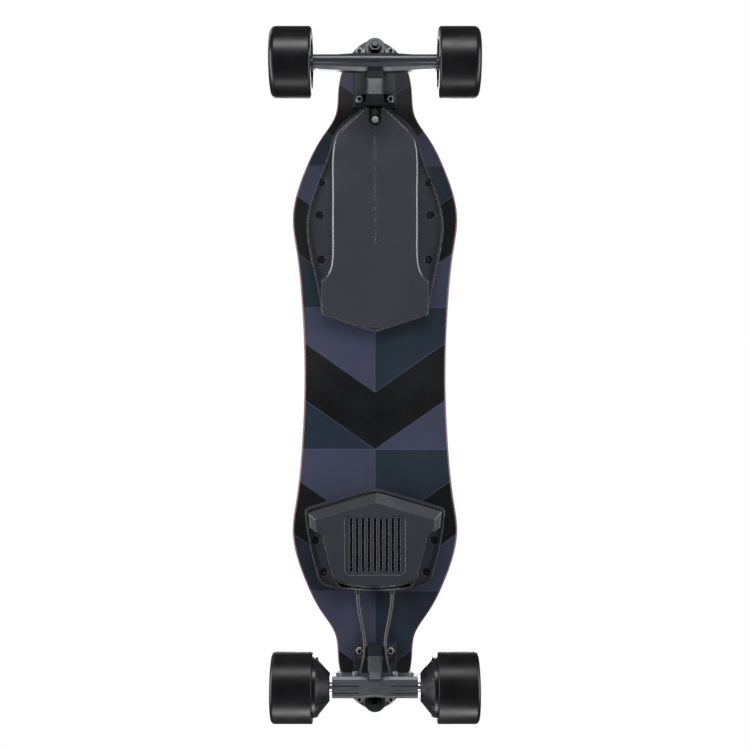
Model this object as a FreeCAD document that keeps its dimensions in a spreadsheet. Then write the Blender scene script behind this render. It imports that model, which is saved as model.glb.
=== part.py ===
import FreeCAD, Part
import math
import os
import re

import Sketcher

Vector = FreeCAD.Vector
Rotation = FreeCAD.Rotation
Placement = FreeCAD.Placement

# An electric longboard. X is across the board, the nose points to -Y, Z is up and the
# wheels stand on Z = 0 below the middle of the deck. All sizes are in millimetres.

SIZES = {
    # deck
    "deck_length": 890,
    "deck_width": 219,
    "deck_waist": 187.5,
    "neck_width": 98.5,
    "neck_from_tip": 70,
    "shoulder_from_tip": 239,
    "deck_thick": 12,
    "deck_edge_round": 3,
    "grip_inset": 1.6,
    "grip_thick": 0.9,
    # trucks
    "truck_from_tip": 50,
    "truck_height": 64,
    "riser_thick": 3,
    "base_thick": 6,
    "base_half_width": 27,
    "base_inner_end": 38,
    "base_outer_end": 40,
    "bolt_spacing_across": 41.3,
    "bolt_spacing_along": 63.5,
    "truck_bolt_diameter": 5,
    "bolt_hole_gap": 0.2,
    "kingpin_tilt": 10,
    "kingpin_diameter": 9.5,
    "steer_axis_tilt": 40,
    "ring_out": 20,
    "ring_above_axle": 28,
    "ring_radius": 16,
    "ring_half_thick": 4.5,
    "seat_ball_radius": 15,
    "seat_gap": 0.3,
    "bushing_radius": 13,
    "bushing_nut_end_radius": 10.5,
    "board_bushing_end": 19,
    "road_bushing_end": 17,
    "washer_thick": 1.6,
    "washer_radius": 13.5,
    "pivot_distance": 60,
    "pivot_ball_radius": 5.6,
    "pivot_stem_radius": 4.8,
    "pivot_cup_wall": 1.9,
    "front_tower_half": 11.25,
    "rear_tower_half": 9.3,
    # wheels
    "wheel_diameter": 90,
    "wheel_width": 52,
    "front_span": 264,
    "rear_span": 261,
    "axle_diameter": 8,
    "running_gap": 0.05,
    "front_tyre_round": 8,
    "rear_tyre_round": 5,
    "wheel_core_radius": 24,
    "bearing_radius": 11,
    "bearing_width": 7,
    "bearing_setback": 11,
    "bearing_spacer": 10,
    "speed_washer_thick": 0.9,
    "motor_can_radius": 37,
    "motor_can_wall": 3,
    "motor_shaft_diameter": 12,
    "motor_bearing_radius": 12,
    "motor_bearing_width": 6,
    "rear_hanger_half": 54,
    "motor_screw_ring": 35.4,
    # cases under the deck
    "case_wall": 2.5,
    "gasket_thick": 1,
    "flange_depth": 9,
    "battery_case_depth": 23,
    "controller_case_depth": 21,
    "battery_front": 350,
    "battery_back": 56,
    "battery_half_width": 90,
    "battery_raised_half": 57,
    "battery_ridge": 93,
    "controller_front": 151,
    "controller_back": 285,
    "controller_half_width": 92,
    "case_screw_diameter": 4,
    "case_screw_head": 7.6,
    "insert_wall": 1.2,
    "insert_length": 8,
    "cell_diameter": 18.4,
    "cell_length": 65.2,
    "vent_slot_width": 3.2,
    "vent_pitch": 7.8,
    "lead_diameter": 5,
    "button_diameter": 9,
    "button_travel": 1.5,
}

# Places that follow from the sizes.
PLACES = {
    "axle_height": "wheel_diameter / 2",
    "base_top": "axle_height + truck_height",
    "base_bottom": "base_top - base_thick",
    "deck_bottom": "base_top + riser_thick",
    "deck_top": "deck_bottom + deck_thick",
    "truck_place": "deck_length / 2 - truck_from_tip",
    "front_wheel_face": "front_span / 2 - wheel_width",
    "rear_wheel_face": "rear_span / 2 - wheel_width",
    "axle_radius": "axle_diameter / 2",
    "shaft_radius": "motor_shaft_diameter / 2",
    "second_bearing": "bearing_setback + bearing_width + bearing_spacer",
    "nut_place": "second_bearing + bearing_width + 2 * running_gap + speed_washer_thick",
    "hanger_end": "front_wheel_face + bearing_setback - speed_washer_thick - 2 * running_gap",
    "case_top": "deck_bottom - gasket_thick",
    "insert_radius": "case_screw_diameter / 2 + insert_wall",
}

doc = FreeCAD.newDocument("electric_skateboard")
sheet = doc.addObject("Spreadsheet::Sheet", "Sizes")
for row, (alias, number) in enumerate(SIZES.items(), start=1):
    sheet.set(f"A{row}", alias)
    sheet.set(f"B{row}", str(number))
    sheet.setAlias(f"B{row}", alias)
doc.recompute()

nodes = {}


def expand(formula):
    """Writes a formula over named sizes and places as one over the sheet's cells."""
    def swap(match):
        word = match.group(0)
        if word in SIZES:
            return "Sizes." + word
        if word in PLACES:
            return "(" + expand(PLACES[word]) + ")"
        return word
    return re.sub(r"[a-z][a-z_]+", swap, str(formula))


probe = doc.addObject("App::FeaturePython", "Probe")


def size(formula):
    """The value of a formula over named sizes and places."""
    return float(probe.evalExpression(expand(formula)))


def bind(thing, prop, formula):
    thing.setExpression(prop, expand(formula))


def node(name, thing):
    """Names a finished sub-part; the name is also its file's name."""
    thing.Label = name
    nodes[name] = thing
    return thing


def put(thing, at=("0", "0", "0"), turn=Rotation()):
    """Places a thing, with its position bound to the sheet."""
    thing.Placement = Placement(Vector(*[size(formula) for formula in at]), turn)
    for axis, formula in zip("xyz", at):
        bind(thing, ".Placement.Base." + axis, formula)
    return thing


def draw(body, role, corners):
    """A closed outline of straight lines, each corner held at two bound distances."""
    sketch = body.newObject("Sketcher::SketchObject", body.Name + "Sketch")
    plane = next(item for item in body.Origin.OriginFeatures if item.Role == role)
    sketch.AttachmentSupport = [(plane, "")]
    sketch.MapMode = "FlatFace"
    points = [Vector(size(across), size(up), 0) for across, up in corners]
    count = len(points)
    for index in range(count):
        sketch.addGeometry(Part.LineSegment(points[index], points[(index + 1) % count]))
    for index in range(count):
        sketch.addConstraint(Sketcher.Constraint("Coincident", index, 2, (index + 1) % count, 1))
    for index, corner in enumerate(corners):
        for kind, axis, formula in zip(("DistanceX", "DistanceY"), (-2, -1), corner):
            if abs(size(formula)) < 1e-9:
                sketch.addConstraint(Sketcher.Constraint("PointOnObject", index, 1, axis))
                continue
            held = sketch.addConstraint(Sketcher.Constraint(kind, index, 1, size(formula)))
            bind(sketch, f"Constraints[{held}]", formula)
    return sketch


def turned(name, profile):
    """A body turned about its own X axis from (along, radius) corners."""
    body = doc.addObject("PartDesign::Body", name)
    sketch = draw(body, "XY_Plane", profile)
    turn = body.newObject("PartDesign::Revolution", name + "Turn")
    turn.Profile = sketch
    turn.ReferenceAxis = (sketch, ["H_Axis"])
    turn.Angle = 360
    body.Tip = turn
    return body


def round_edges(body, radius, chosen):
    """Rounds the body's edges that the test picks."""
    doc.recompute()
    last = body.Tip
    edges = [f"Edge{index}" for index, edge in enumerate(last.Shape.Edges, 1) if chosen(edge)]
    fillet = body.newObject("PartDesign::Fillet", body.Name + "Round")
    fillet.Base = (last, edges)
    bind(fillet, "Radius", radius)
    body.Tip = fillet
    return body


def cylinder(radius, length, at=("0", "0", "0"), turn=Rotation()):
    thing = doc.addObject("Part::Cylinder", "Cylinder")
    bind(thing, "Radius", radius)
    bind(thing, "Height", length)
    return put(thing, at, turn)


def box(length, width, height, at, turn=Rotation()):
    thing = doc.addObject("Part::Box", "Box")
    bind(thing, "Length", length)
    bind(thing, "Width", width)
    bind(thing, "Height", height)
    return put(thing, at, turn)


def hexagon(across_flats, length, at=("0", "0", "0"), turn=Rotation()):
    thing = doc.addObject("Part::Prism", "Hexagon")
    thing.Polygon = 6
    bind(thing, "Circumradius", f"({across_flats}) / sqrt(3)")
    bind(thing, "Height", length)
    return put(thing, at, turn)


def cut(base, *tools):
    thing = doc.addObject("Part::Cut", "Cut")
    thing.Base = base
    thing.Tool = tools[0] if len(tools) == 1 else group(*tools)
    return thing


def fuse(*things):
    thing = doc.addObject("Part::MultiFuse", "Fuse")
    thing.Shapes = list(things)
    return thing


def group(*things):
    thing = doc.addObject("Part::Compound", "Group")
    thing.Links = list(things)
    return thing


def formed(name, shape):
    """A piece of free form, whose shape is worked out from the sheet's sizes."""
    thing = doc.addObject("Part::Feature", name)
    thing.Shape = shape
    return thing


def prism(corners, bottom, top):
    """A plain solid between two heights, over an outline of points or edges."""
    if isinstance(corners[0], tuple):
        corners = [Vector(across, along, 0) for across, along in corners]
        corners = Part.makePolygon(corners + corners[:1]).Edges
    face = Part.Face(Part.Wire(corners))
    face.translate(Vector(0, 0, bottom))
    return face.extrude(Vector(0, 0, top - bottom))


def mirrored_outline(half):
    """Corners on the +X side, front to back, closed with their mirror images."""
    return half + [(-across, along) for across, along in reversed(half) if across > 0]


def rod(start, end, radius):
    return Part.makeCylinder(radius, (end - start).Length, start, end - start)


# ---------------------------------------------------------------- deck

def deck_quarter(inset):
    """Points on one quarter of the deck's edge, from the tip to the middle."""
    half = size("deck_length / 2") - inset
    neck = size("neck_width / 2") - inset
    shoulder = size("deck_width / 2") - inset
    waist = size("deck_waist / 2") - inset
    neck_at = size("neck_from_tip") - inset
    shoulder_at = size("shoulder_from_tip") - inset
    rise = shoulder - neck
    run = shoulder_at - neck_at
    waist_run = half - shoulder_at
    points = [
        (0, 0),
        (0.56 * neck, 0.19 * neck_at),
        (0.885 * neck, 0.57 * neck_at),
        (neck, neck_at),
        (neck + 0.055 * rise, neck_at + 0.17 * run),
        (neck + 0.36 * rise, neck_at + 0.35 * run),
        (neck + 0.72 * rise, neck_at + 0.6 * run),
        (shoulder, shoulder_at),
        (waist + 0.68 * (shoulder - waist), shoulder_at + 0.2 * waist_run),
        (waist + 0.26 * (shoulder - waist), shoulder_at + 0.5 * waist_run),
        (waist, half),
    ]
    return [(across, along - half) for across, along in points]


def deck_edge(inset=0):
    """The whole edge of the deck: one closed curve, mirrored across the board and end to end."""
    quarter = deck_quarter(inset)
    front = quarter[:-1]
    right = front + [quarter[-1]] + [(across, -along) for across, along in reversed(front)]
    left = [(-across, along) for across, along in reversed(right[1:-1])]
    curve = Part.BSplineCurve()
    curve.interpolate(
        Points=[Vector(across, along, 0) for across, along in right + left],
        PeriodicFlag=True,
    )
    return Part.Wire(curve.toShape())


def truck_bolt_places():
    """The eight places where truck bolts pass through the deck."""
    across = size("bolt_spacing_across / 2")
    along = size("bolt_spacing_along / 2")
    middle = size("truck_place")
    return [
        (side * across, end * (middle + row * along))
        for end in (-1, 1) for side in (-1, 1) for row in (-1, 1)
    ]


def holes(places, radius, bottom, top):
    return [
        Part.makeCylinder(radius, top - bottom, Vector(across, along, bottom))
        for across, along in places
    ]


BATTERY_SCREWS = [(side * across, along) for side in (-1, 1)
                  for across, along in ((70.5, -254), (73, -211), (70.5, -152))]
CONTROLLER_SCREWS = [(side * across, along) for side in (-1, 1)
                     for across, along in ((78, 218), (67.5, 260))]
CHANNEL_HALF_WIDTH = 6
CHANNEL_HEIGHT = 4
CHANNEL_FRONT = -110
CHANNEL_BACK = 205
CHANNEL_WELL = 14


def link_channel(gap):
    """The routed way inside the deck that joins the two cases, less a gap all round."""
    bottom = size("deck_bottom")
    floor = bottom + 4
    half = CHANNEL_HALF_WIDTH - gap
    shapes = [Part.makeBox(
        2 * half, CHANNEL_BACK - CHANNEL_FRONT - 2 * gap, CHANNEL_HEIGHT - 2 * gap,
        Vector(-half, CHANNEL_FRONT + gap, floor + gap))]
    for start in (CHANNEL_FRONT, CHANNEL_BACK - CHANNEL_WELL):
        shapes.append(Part.makeBox(
            2 * half, CHANNEL_WELL - 2 * gap, floor + 1 - bottom + gap,
            Vector(-half, start + gap, bottom - gap)))
    return shapes[0].fuse(shapes[1:]).removeSplitter()


def deck():
    bottom = size("deck_bottom")
    top = size("deck_top")
    face = Part.Face(deck_edge())
    face.translate(Vector(0, 0, bottom))
    blank = face.extrude(Vector(0, 0, top - bottom))
    rims = [edge for edge in blank.Edges
            if abs(edge.BoundBox.ZMax - edge.BoundBox.ZMin) < 0.01]
    blank = blank.makeFillet(size("deck_edge_round"), rims)
    bolt = size("truck_bolt_diameter / 2 + bolt_hole_gap")
    tools = holes(truck_bolt_places(), bolt, bottom - 1, top + 1)
    for across, along in truck_bolt_places():
        tools.append(Part.makeCone(bolt, bolt + HEAD_DEPTH + 0.2, HEAD_DEPTH + 0.2,
                                   Vector(across, along, top - HEAD_DEPTH)))
    insert_top = bottom + size("insert_length")
    tools += holes(BATTERY_SCREWS + CONTROLLER_SCREWS, size("insert_radius"), bottom - 1,
                   insert_top + 1)
    tools.append(link_channel(0))
    return blank.cut(tools)


HEAD_DEPTH = 2.6


def grip_tape():
    bottom = size("deck_top")
    top = bottom + size("grip_thick")
    face = Part.Face(deck_edge(size("grip_inset + deck_edge_round")))
    face.translate(Vector(0, 0, bottom))
    sheet_solid = face.extrude(Vector(0, 0, top - bottom))
    head = size("truck_bolt_diameter / 2 + bolt_hole_gap") + HEAD_DEPTH + 0.4
    return sheet_solid.cut(holes(truck_bolt_places(), head, bottom - 1, top + 1))


node("deck", formed("Deck", deck()))
node("grip_tape", formed("GripTape", grip_tape()))
node("link_cable", formed("LinkCable", link_channel(0.2)))

# ---------------------------------------------------------------- trucks

# Inside a truck, X is across the board, "out" runs along the board away from its middle,
# and the axle crosses at out = 0. The rear truck faces +Y and the front one is turned round.
ENDS = {"front": -1, "rear": 1}
FACING = {"front": Rotation(Vector(0, 0, 1), 180), "rear": Rotation()}


def on_truck(end, thing, out="0", up="0", turn=Rotation(), across="0"):
    """Places a thing on a truck, at a bound distance out from the axle and above the floor."""
    sign = ENDS[end]
    at = (f"{sign} * ({across})", f"{sign} * (truck_place + {out})", up)
    return put(thing, at, FACING[end].multiply(turn))


def truck_shape(end, shape):
    """Moves a shape that was worked out in truck axes to its truck."""
    moved = shape.copy()
    place = Vector(0, ENDS[end] * size("truck_place"), 0)
    moved.Placement = Placement(place, FACING[end]).multiply(moved.Placement)
    return moved


tilt = math.radians(size("kingpin_tilt"))
kingpin_way = Vector(0, math.sin(tilt), -math.cos(tilt))
axis_tilt = math.radians(size("steer_axis_tilt"))
axis_way = Vector(0, math.cos(axis_tilt), math.sin(axis_tilt))
axis_side = Vector(0, -math.sin(axis_tilt), math.cos(axis_tilt))
ring_middle = Vector(0, size("ring_out"), size("axle_height + ring_above_axle"))
pivot_middle = ring_middle - axis_way * size("pivot_distance")
kingpin_turn = Rotation(Vector(1, 0, 0), kingpin_way)
pivot_turn = Rotation(Vector(1, 0, 0), axis_way)


def on_kingpin(end, thing):
    """Puts a turned body on the kingpin's line; its X = 0 is at the hanger ring's middle."""
    middle = truck_shape(end, Part.Vertex(ring_middle)).Point
    thing.Placement = Placement(middle, FACING[end].multiply(kingpin_turn))
    return thing


def base_outline(grow):
    """The baseplate's outline in truck axes: square inside, rounded off towards the tip."""
    half = size("base_half_width") + grow
    inner = -size("base_inner_end") - grow
    outer = size("base_outer_end") + grow
    nose = 13
    return mirrored_outline([
        (half, inner), (half, outer - 17), (half - 4, outer - 9), (nose, outer), (0, outer)])


def tower_outline():
    """Side view of the tower that holds the pivot cup, as (out, up) points."""
    mouth = pivot_middle + axis_way * 6
    reach = 11.5
    depth = 16
    top = size("base_bottom") + 1
    high = mouth + axis_side * reach
    low = mouth - axis_side * reach
    back_low = low - axis_way * depth
    back_high = high - axis_way * depth
    points = [Vector(0, high.y + 4.5, top), Vector(0, high.y + 4.5, high.z + 10), high, low,
              back_low, back_high, Vector(0, back_high.y - 1, top)]
    return Part.makePolygon(points + points[:1])


TOWER_ROUND = 3.5


def baseplate(end):
    """Plate, kingpin boss and pivot tower in one casting."""
    bottom = size("base_bottom")
    top = size("base_top")
    plate = prism(base_outline(0), bottom, top)
    seat = ring_middle - kingpin_way * size("board_bushing_end")
    boss_top = seat - kingpin_way * ((bottom + 1 - seat.z) / math.cos(tilt))
    boss = rod(seat, boss_top, size("bushing_radius + 2"))
    half = size(f"{end}_tower_half")
    tower = Part.Face(tower_outline()).extrude(Vector(2 * half, 0, 0))
    tower.translate(Vector(-half, 0, 0))
    tower = tower.makeFillet(TOWER_ROUND, [
        edge for edge in tower.Edges
        if edge.BoundBox.XLength < 0.01 and edge.BoundBox.ZMax < bottom - 4])
    ribs = []
    for side in (-1, 1):
        rib = Part.makePolygon([
            Vector(0, -26, bottom + 1), Vector(side * 24, -26, bottom + 1),
            Vector(0, -26, bottom - 26), Vector(0, -26, bottom + 1)])
        ribs.append(Part.Face(rib).extrude(Vector(0, 4, 0)))
    blank = plate.fuse([boss, tower] + ribs)
    pin = size("kingpin_diameter / 2")
    head_floor = Vector(0, ring_middle.y, ring_middle.z) - kingpin_way * (
        (bottom + 1.5 - ring_middle.z) / math.cos(tilt))
    tools = [rod(seat + kingpin_way * 2, head_floor - kingpin_way * 9, pin)]
    tools.append(rod(head_floor, head_floor - kingpin_way * 9, KINGPIN_HEAD + 0.2))
    cup = size("pivot_ball_radius + pivot_cup_wall")
    tools.append(rod(pivot_middle - axis_way * cup, pivot_middle + axis_way * 7, cup))
    across = size("bolt_spacing_across / 2")
    along = size("bolt_spacing_along / 2")
    bolt = size("truck_bolt_diameter / 2 + bolt_hole_gap")
    tools += holes([(a * across, b * along) for a in (-1, 1) for b in (-1, 1)], bolt,
                   bottom - 1, top + 1)
    return truck_shape(end, blank.cut(tools).removeSplitter())


KINGPIN_HEAD = 8


def hanger_ring():
    """The ring between the bushings: a disc with a ball-shaped seat on each side."""
    half = size("ring_half_thick")
    disc = rod(ring_middle - kingpin_way * half, ring_middle + kingpin_way * half,
               size("ring_radius"))
    ball = Part.makeSphere(size("seat_ball_radius"), ring_middle)
    dome = ball.common(rod(ring_middle - kingpin_way * 16, ring_middle + kingpin_way * 16,
                           size("bushing_radius - 0.2")))
    return disc.fuse(dome)


def ring_hole():
    return rod(ring_middle - kingpin_way * 20, ring_middle + kingpin_way * 20,
               size("kingpin_diameter / 2") + 3.5)


def swing_room():
    """The room in front of the axle where the washer and the nut stand as the hanger turns."""
    reach = size("road_bushing_end")
    wide = rod(ring_middle + kingpin_way * (reach - 5), ring_middle + kingpin_way * (reach + 4),
               size("washer_radius") + 4.5)
    narrow = rod(ring_middle + kingpin_way * (reach + 3), ring_middle + kingpin_way * 50,
                 size("washer_radius") + 1.5)
    return [wide, narrow]


def beam_section(across, inner, outer, low, high, bevel):
    """An eight-sided section of a hanger, seen along the axle."""
    middle = size("axle_height")
    pairs = [(-inner, low + bevel), (-inner, high - bevel), (-inner + bevel, high),
             (outer - bevel, high), (outer, high - bevel), (outer, low + bevel),
             (outer - bevel, low), (-inner + bevel, low)]
    points = [Vector(across, out, middle + up) for out, up in pairs]
    return Part.makePolygon(points + points[:1])


def hanger_core():
    """What both hangers share: the web, the ring between the bushings and the pivot ball."""
    middle = size("axle_height")
    web = Part.makeBox(28, 15, ring_middle.z + 2 - middle, Vector(-14, -9, middle + 1))
    stem = rod(pivot_middle, pivot_middle + axis_way * 25, size("pivot_stem_radius"))
    ball = Part.makeSphere(size("pivot_ball_radius"), pivot_middle)
    return [web, hanger_ring(), stem, ball]


RIDGE_OUT = 3
RIDGE_DROP = 5.2
RIDGE_RADIUS = 6.5


def front_hanger():
    end = size("hanger_end")
    taper = end - 12
    sections = [
        beam_section(-taper, 8, 8, -8.5, 8.5, 3.5),
        beam_section(-20, 11.5, 11.5, -10, 10, 4.5),
        beam_section(20, 11.5, 11.5, -10, 10, 4.5),
        beam_section(taper, 8, 8, -8.5, 8.5, 3.5),
    ]
    beam = Part.makeLoft(sections, True, True)
    axle_line = Vector(0, 0, size("axle_height"))
    noses = rod(axle_line - Vector(end, 0, 0), axle_line + Vector(end, 0, 0), 7.8)
    ridge_line = axle_line + Vector(0, RIDGE_OUT, -RIDGE_DROP)
    ridge = rod(ridge_line - Vector(taper, 0, 0), ridge_line + Vector(taper, 0, 0),
                RIDGE_RADIUS)
    shape = beam.fuse(hanger_core() + [noses, ridge])
    bore = rod(axle_line - Vector(200, 0, 0), axle_line + Vector(200, 0, 0),
               size("axle_radius"))
    shape = shape.cut(swing_room() + [ring_hole(), bore])
    return truck_shape("front", shape.removeSplitter())


def rear_hanger():
    """A block hanger, with long grooves below and a bore for the motor shafts."""
    half = size("rear_hanger_half")
    middle = size("axle_height")
    sections = [
        beam_section(-half, 15.5, 11.5, -13, 12, 3),
        beam_section(-18, 15.5, 11.5, -13, 12, 3),
        beam_section(0, 13.5, 10.5, -12, 12, 4),
        beam_section(18, 15.5, 11.5, -13, 12, 3),
        beam_section(half, 15.5, 11.5, -13, 12, 3),
    ]
    shape = Part.makeLoft(sections, True, True).fuse(hanger_core())
    axle_line = Vector(0, 0, middle)
    tools = swing_room() + [ring_hole()]
    tools.append(rod(axle_line - Vector(200, 0, 0), axle_line + Vector(200, 0, 0),
                     size("shaft_radius")))
    for side in (-1, 1):
        for out in (-5.5, 3.5):
            tools.append(Part.makeBox(
                half - 20, 2, 3, Vector(min(side * 20, side * half), out, middle - 14)))
        for across in CLAMP_SCREWS:
            start = Vector(side * across, -16, middle - 2)
            tools.append(rod(start, start + Vector(0, 10, 0), CLAMP_SHANK))
        tools.append(rod(Vector(side * LEAD_ACROSS, LEAD_OUT, middle + 6),
                         Vector(side * LEAD_ACROSS, LEAD_OUT, middle + 20), 4))
    return truck_shape("rear", shape.cut(tools).removeSplitter())


CLAMP_SCREWS = (25.5, 45.5)
CLAMP_SHANK = 1.9
LEAD_ACROSS = 20
LEAD_OUT = -7


def pivot_cup(end):
    ball = size("pivot_ball_radius + seat_gap")
    outer = size("pivot_ball_radius + pivot_cup_wall")
    body = rod(pivot_middle - axis_way * outer, pivot_middle + axis_way * 6, outer)
    room = Part.makeSphere(ball, pivot_middle).fuse(
        rod(pivot_middle, pivot_middle + axis_way * 10, ball))
    return truck_shape(end, body.cut(room))


def bushing(end, side):
    """A soft bushing whose one end is hollowed to ride on the hanger ring's ball seat."""
    gap = size("seat_gap")
    wide = size("bushing_radius")
    rim = math.sqrt((size("seat_ball_radius") + gap) ** 2 - wide ** 2)
    if side == "board":
        length, far = -size("board_bushing_end"), wide - 0.8
    else:
        length, far = size("road_bushing_end"), size("bushing_nut_end_radius")
    way = kingpin_way * (1 if length > 0 else -1)
    start = ring_middle + way * (rim + 0.3)
    body = Part.makeCone(wide, far, abs(length) - rim - 0.3, start, way)
    ball = Part.makeSphere(size("seat_ball_radius") + gap, ring_middle)
    pin = rod(ring_middle - kingpin_way * 30, ring_middle + kingpin_way * 40,
              size("kingpin_diameter / 2 + 0.1"))
    return truck_shape(end, body.cut([ball, pin]))


def kingpin(name):
    """A bolt from the baseplate's top, through both bushings, to the nut."""
    head = size(f"-(base_bottom + 1.5 - axle_height - ring_above_axle)") / math.cos(tilt)
    end = "road_bushing_end + washer_thick + 11"
    return turned(name, [
        (f"{head} - 5", "0"), (f"{head} - 5", KINGPIN_HEAD), (head, KINGPIN_HEAD),
        (head, "kingpin_diameter / 2"), (f"{end} - 1", "kingpin_diameter / 2"),
        (end, "kingpin_diameter / 2 - 1"), (end, "0")])


def bushing_washer(name):
    start = "road_bushing_end"
    return turned(name, [
        (start, "kingpin_diameter / 2 + 0.1"), (start, "washer_radius"),
        (f"{start} + washer_thick", "washer_radius - 0.6"),
        (f"{start} + washer_thick", "kingpin_diameter / 2 + 0.1")])


def kingpin_nut(end):
    """A flanged hexagon nut, made along Z and stood on the kingpin's line."""
    nut = fuse(cylinder("9", "1.4"), hexagon("14.3", "8"))
    bored = cut(nut, cylinder("kingpin_diameter / 2", "20", ("0", "0", "-5")))
    middle = ring_middle + kingpin_way * size("road_bushing_end + washer_thick")
    place = truck_shape(end, Part.Vertex(middle)).Point
    way = FACING[end].multVec(kingpin_way)
    bored.Placement = Placement(place, Rotation(Vector(0, 0, 1), way))
    return bored


def truck_bolts(end):
    """Four countersunk bolts through deck, riser and baseplate."""
    bolts = []
    for side in (-1, 1):
        for row in (-1, 1):
            bolt = turned(f"{end.title()}Bolt", [
                ("0", "0"), ("0", f"truck_bolt_diameter / 2 + {HEAD_DEPTH}"),
                (HEAD_DEPTH, "truck_bolt_diameter / 2"),
                ("deck_top - base_bottom + 7", "truck_bolt_diameter / 2"),
                ("deck_top - base_bottom + 7", "0")])
            on_truck(end, bolt, f"{row} * bolt_spacing_along / 2", "deck_top",
                     Rotation(Vector(0, 1, 0), 90), f"{side} * bolt_spacing_across / 2")
            bolts.append(bolt)
    return group(*bolts)


def truck_nuts(end):
    nuts = []
    for side in (-1, 1):
        for row in (-1, 1):
            nut = cut(hexagon("8", "5"),
                      cylinder("truck_bolt_diameter / 2", "9", ("0", "0", "-2")))
            on_truck(end, nut, f"{row} * bolt_spacing_along / 2", "base_bottom - 5",
                     Rotation(), f"{side} * bolt_spacing_across / 2")
            nuts.append(nut)
    return group(*nuts)


def riser(end):
    bolt = size("truck_bolt_diameter / 2 + bolt_hole_gap")
    places = [(a * size("bolt_spacing_across / 2"), b * size("bolt_spacing_along / 2"))
              for a in (-1, 1) for b in (-1, 1)]
    low = size("base_top")
    high = size("deck_bottom")
    plate = prism(base_outline(1.5), low, high)
    pin_room = Part.makeCylinder(14, high - low + 2, Vector(0, 12, low - 1))
    return truck_shape(end, plate.cut(holes(places, bolt, low - 1, high + 1) + [pin_room]))


def at_both_ends(name, make):
    """One node that holds the same piece of both trucks."""
    node(name, group(*[make(end) for end in ENDS]))


for end in ENDS:
    node(f"{end}_baseplate", formed(end.title() + "Baseplate", baseplate(end)))

node("front_hanger", formed("FrontHanger", front_hanger()))
node("rear_hanger", formed("RearHanger", rear_hanger()))
at_both_ends("riser_pads", lambda end: formed("Riser", riser(end)))
at_both_ends("pivot_cups", lambda end: formed("PivotCup", pivot_cup(end)))
at_both_ends("board_side_bushings", lambda end: formed("BoardBushing", bushing(end, "board")))
at_both_ends("road_side_bushings", lambda end: formed("RoadBushing", bushing(end, "road")))
at_both_ends("kingpins", lambda end: on_kingpin(end, kingpin("Kingpin")))
at_both_ends("bushing_washers", lambda end: on_kingpin(end, bushing_washer("BushingWasher")))
at_both_ends("kingpin_nuts", kingpin_nut)
at_both_ends("truck_bolts", truck_bolts)
at_both_ends("truck_nuts", truck_nuts)

# ---------------------------------------------------------------- front wheels

SIDES = {"left": -1, "right": 1}
OUTWARD = {"left": Rotation(Vector(0, 0, 1), 180), "right": Rotation()}


def on_axle(end, side, thing, along):
    """Puts a thing that is made along X on an axle, X = 0 at a bound distance from the middle."""
    sign = SIDES[side]
    at = (f"{sign} * ({along})", f"{ENDS[end]} * truck_place", "axle_height")
    return put(thing, at, OUTWARD[side])


def at_rim(radius, along):
    """Picks the circular edge of that radius at that place along the axis."""
    def chosen(edge):
        box_ = edge.BoundBox
        return (abs(box_.XMax - box_.XMin) < 0.01 and abs(box_.XMin - along) < 0.01
                and abs(box_.YMax - radius) < 0.05)
    return chosen


def front_tyre(name):
    core = "wheel_core_radius"
    outer = "wheel_diameter / 2"
    body = turned(name, [
        ("3", core), ("3", f"{core} + 6"), ("0", f"{core} + 8"), ("0", outer),
        ("wheel_width", outer), ("wheel_width", f"{core} + 7"),
        ("wheel_width - 4", f"{core} + 5"), ("wheel_width - 4", core)])
    round_edges(body, "front_tyre_round", at_rim(size(outer), size("wheel_width")))
    return round_edges(body, "3.5", at_rim(size(outer), 0))


def wheel_core(name):
    seat = "bearing_radius"
    shoulder = "bearing_radius - 1.5"
    first_end = "bearing_setback + bearing_width"
    return turned(name, [
        ("4", seat), ("4", "wheel_core_radius"), ("wheel_width - 4", "wheel_core_radius"),
        ("wheel_width - 4", seat), ("second_bearing", seat), ("second_bearing", shoulder),
        (first_end, shoulder), (first_end, seat)])


def bearing(name, bore, outer, width):
    """A shielded ball bearing, with the shields set back a little between its rings."""
    inner_lip = f"{bore} + 0.28 * ({outer} - {bore})"
    outer_lip = f"{bore} + 0.76 * ({outer} - {bore})"
    return turned(name, [
        ("0", bore), ("0", inner_lip), ("0.4", inner_lip), ("0.4", outer_lip),
        ("0", outer_lip), ("0", outer), (width, outer), (width, outer_lip),
        (f"{width} - 0.4", outer_lip), (f"{width} - 0.4", inner_lip), (width, inner_lip),
        (width, bore)])


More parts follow.
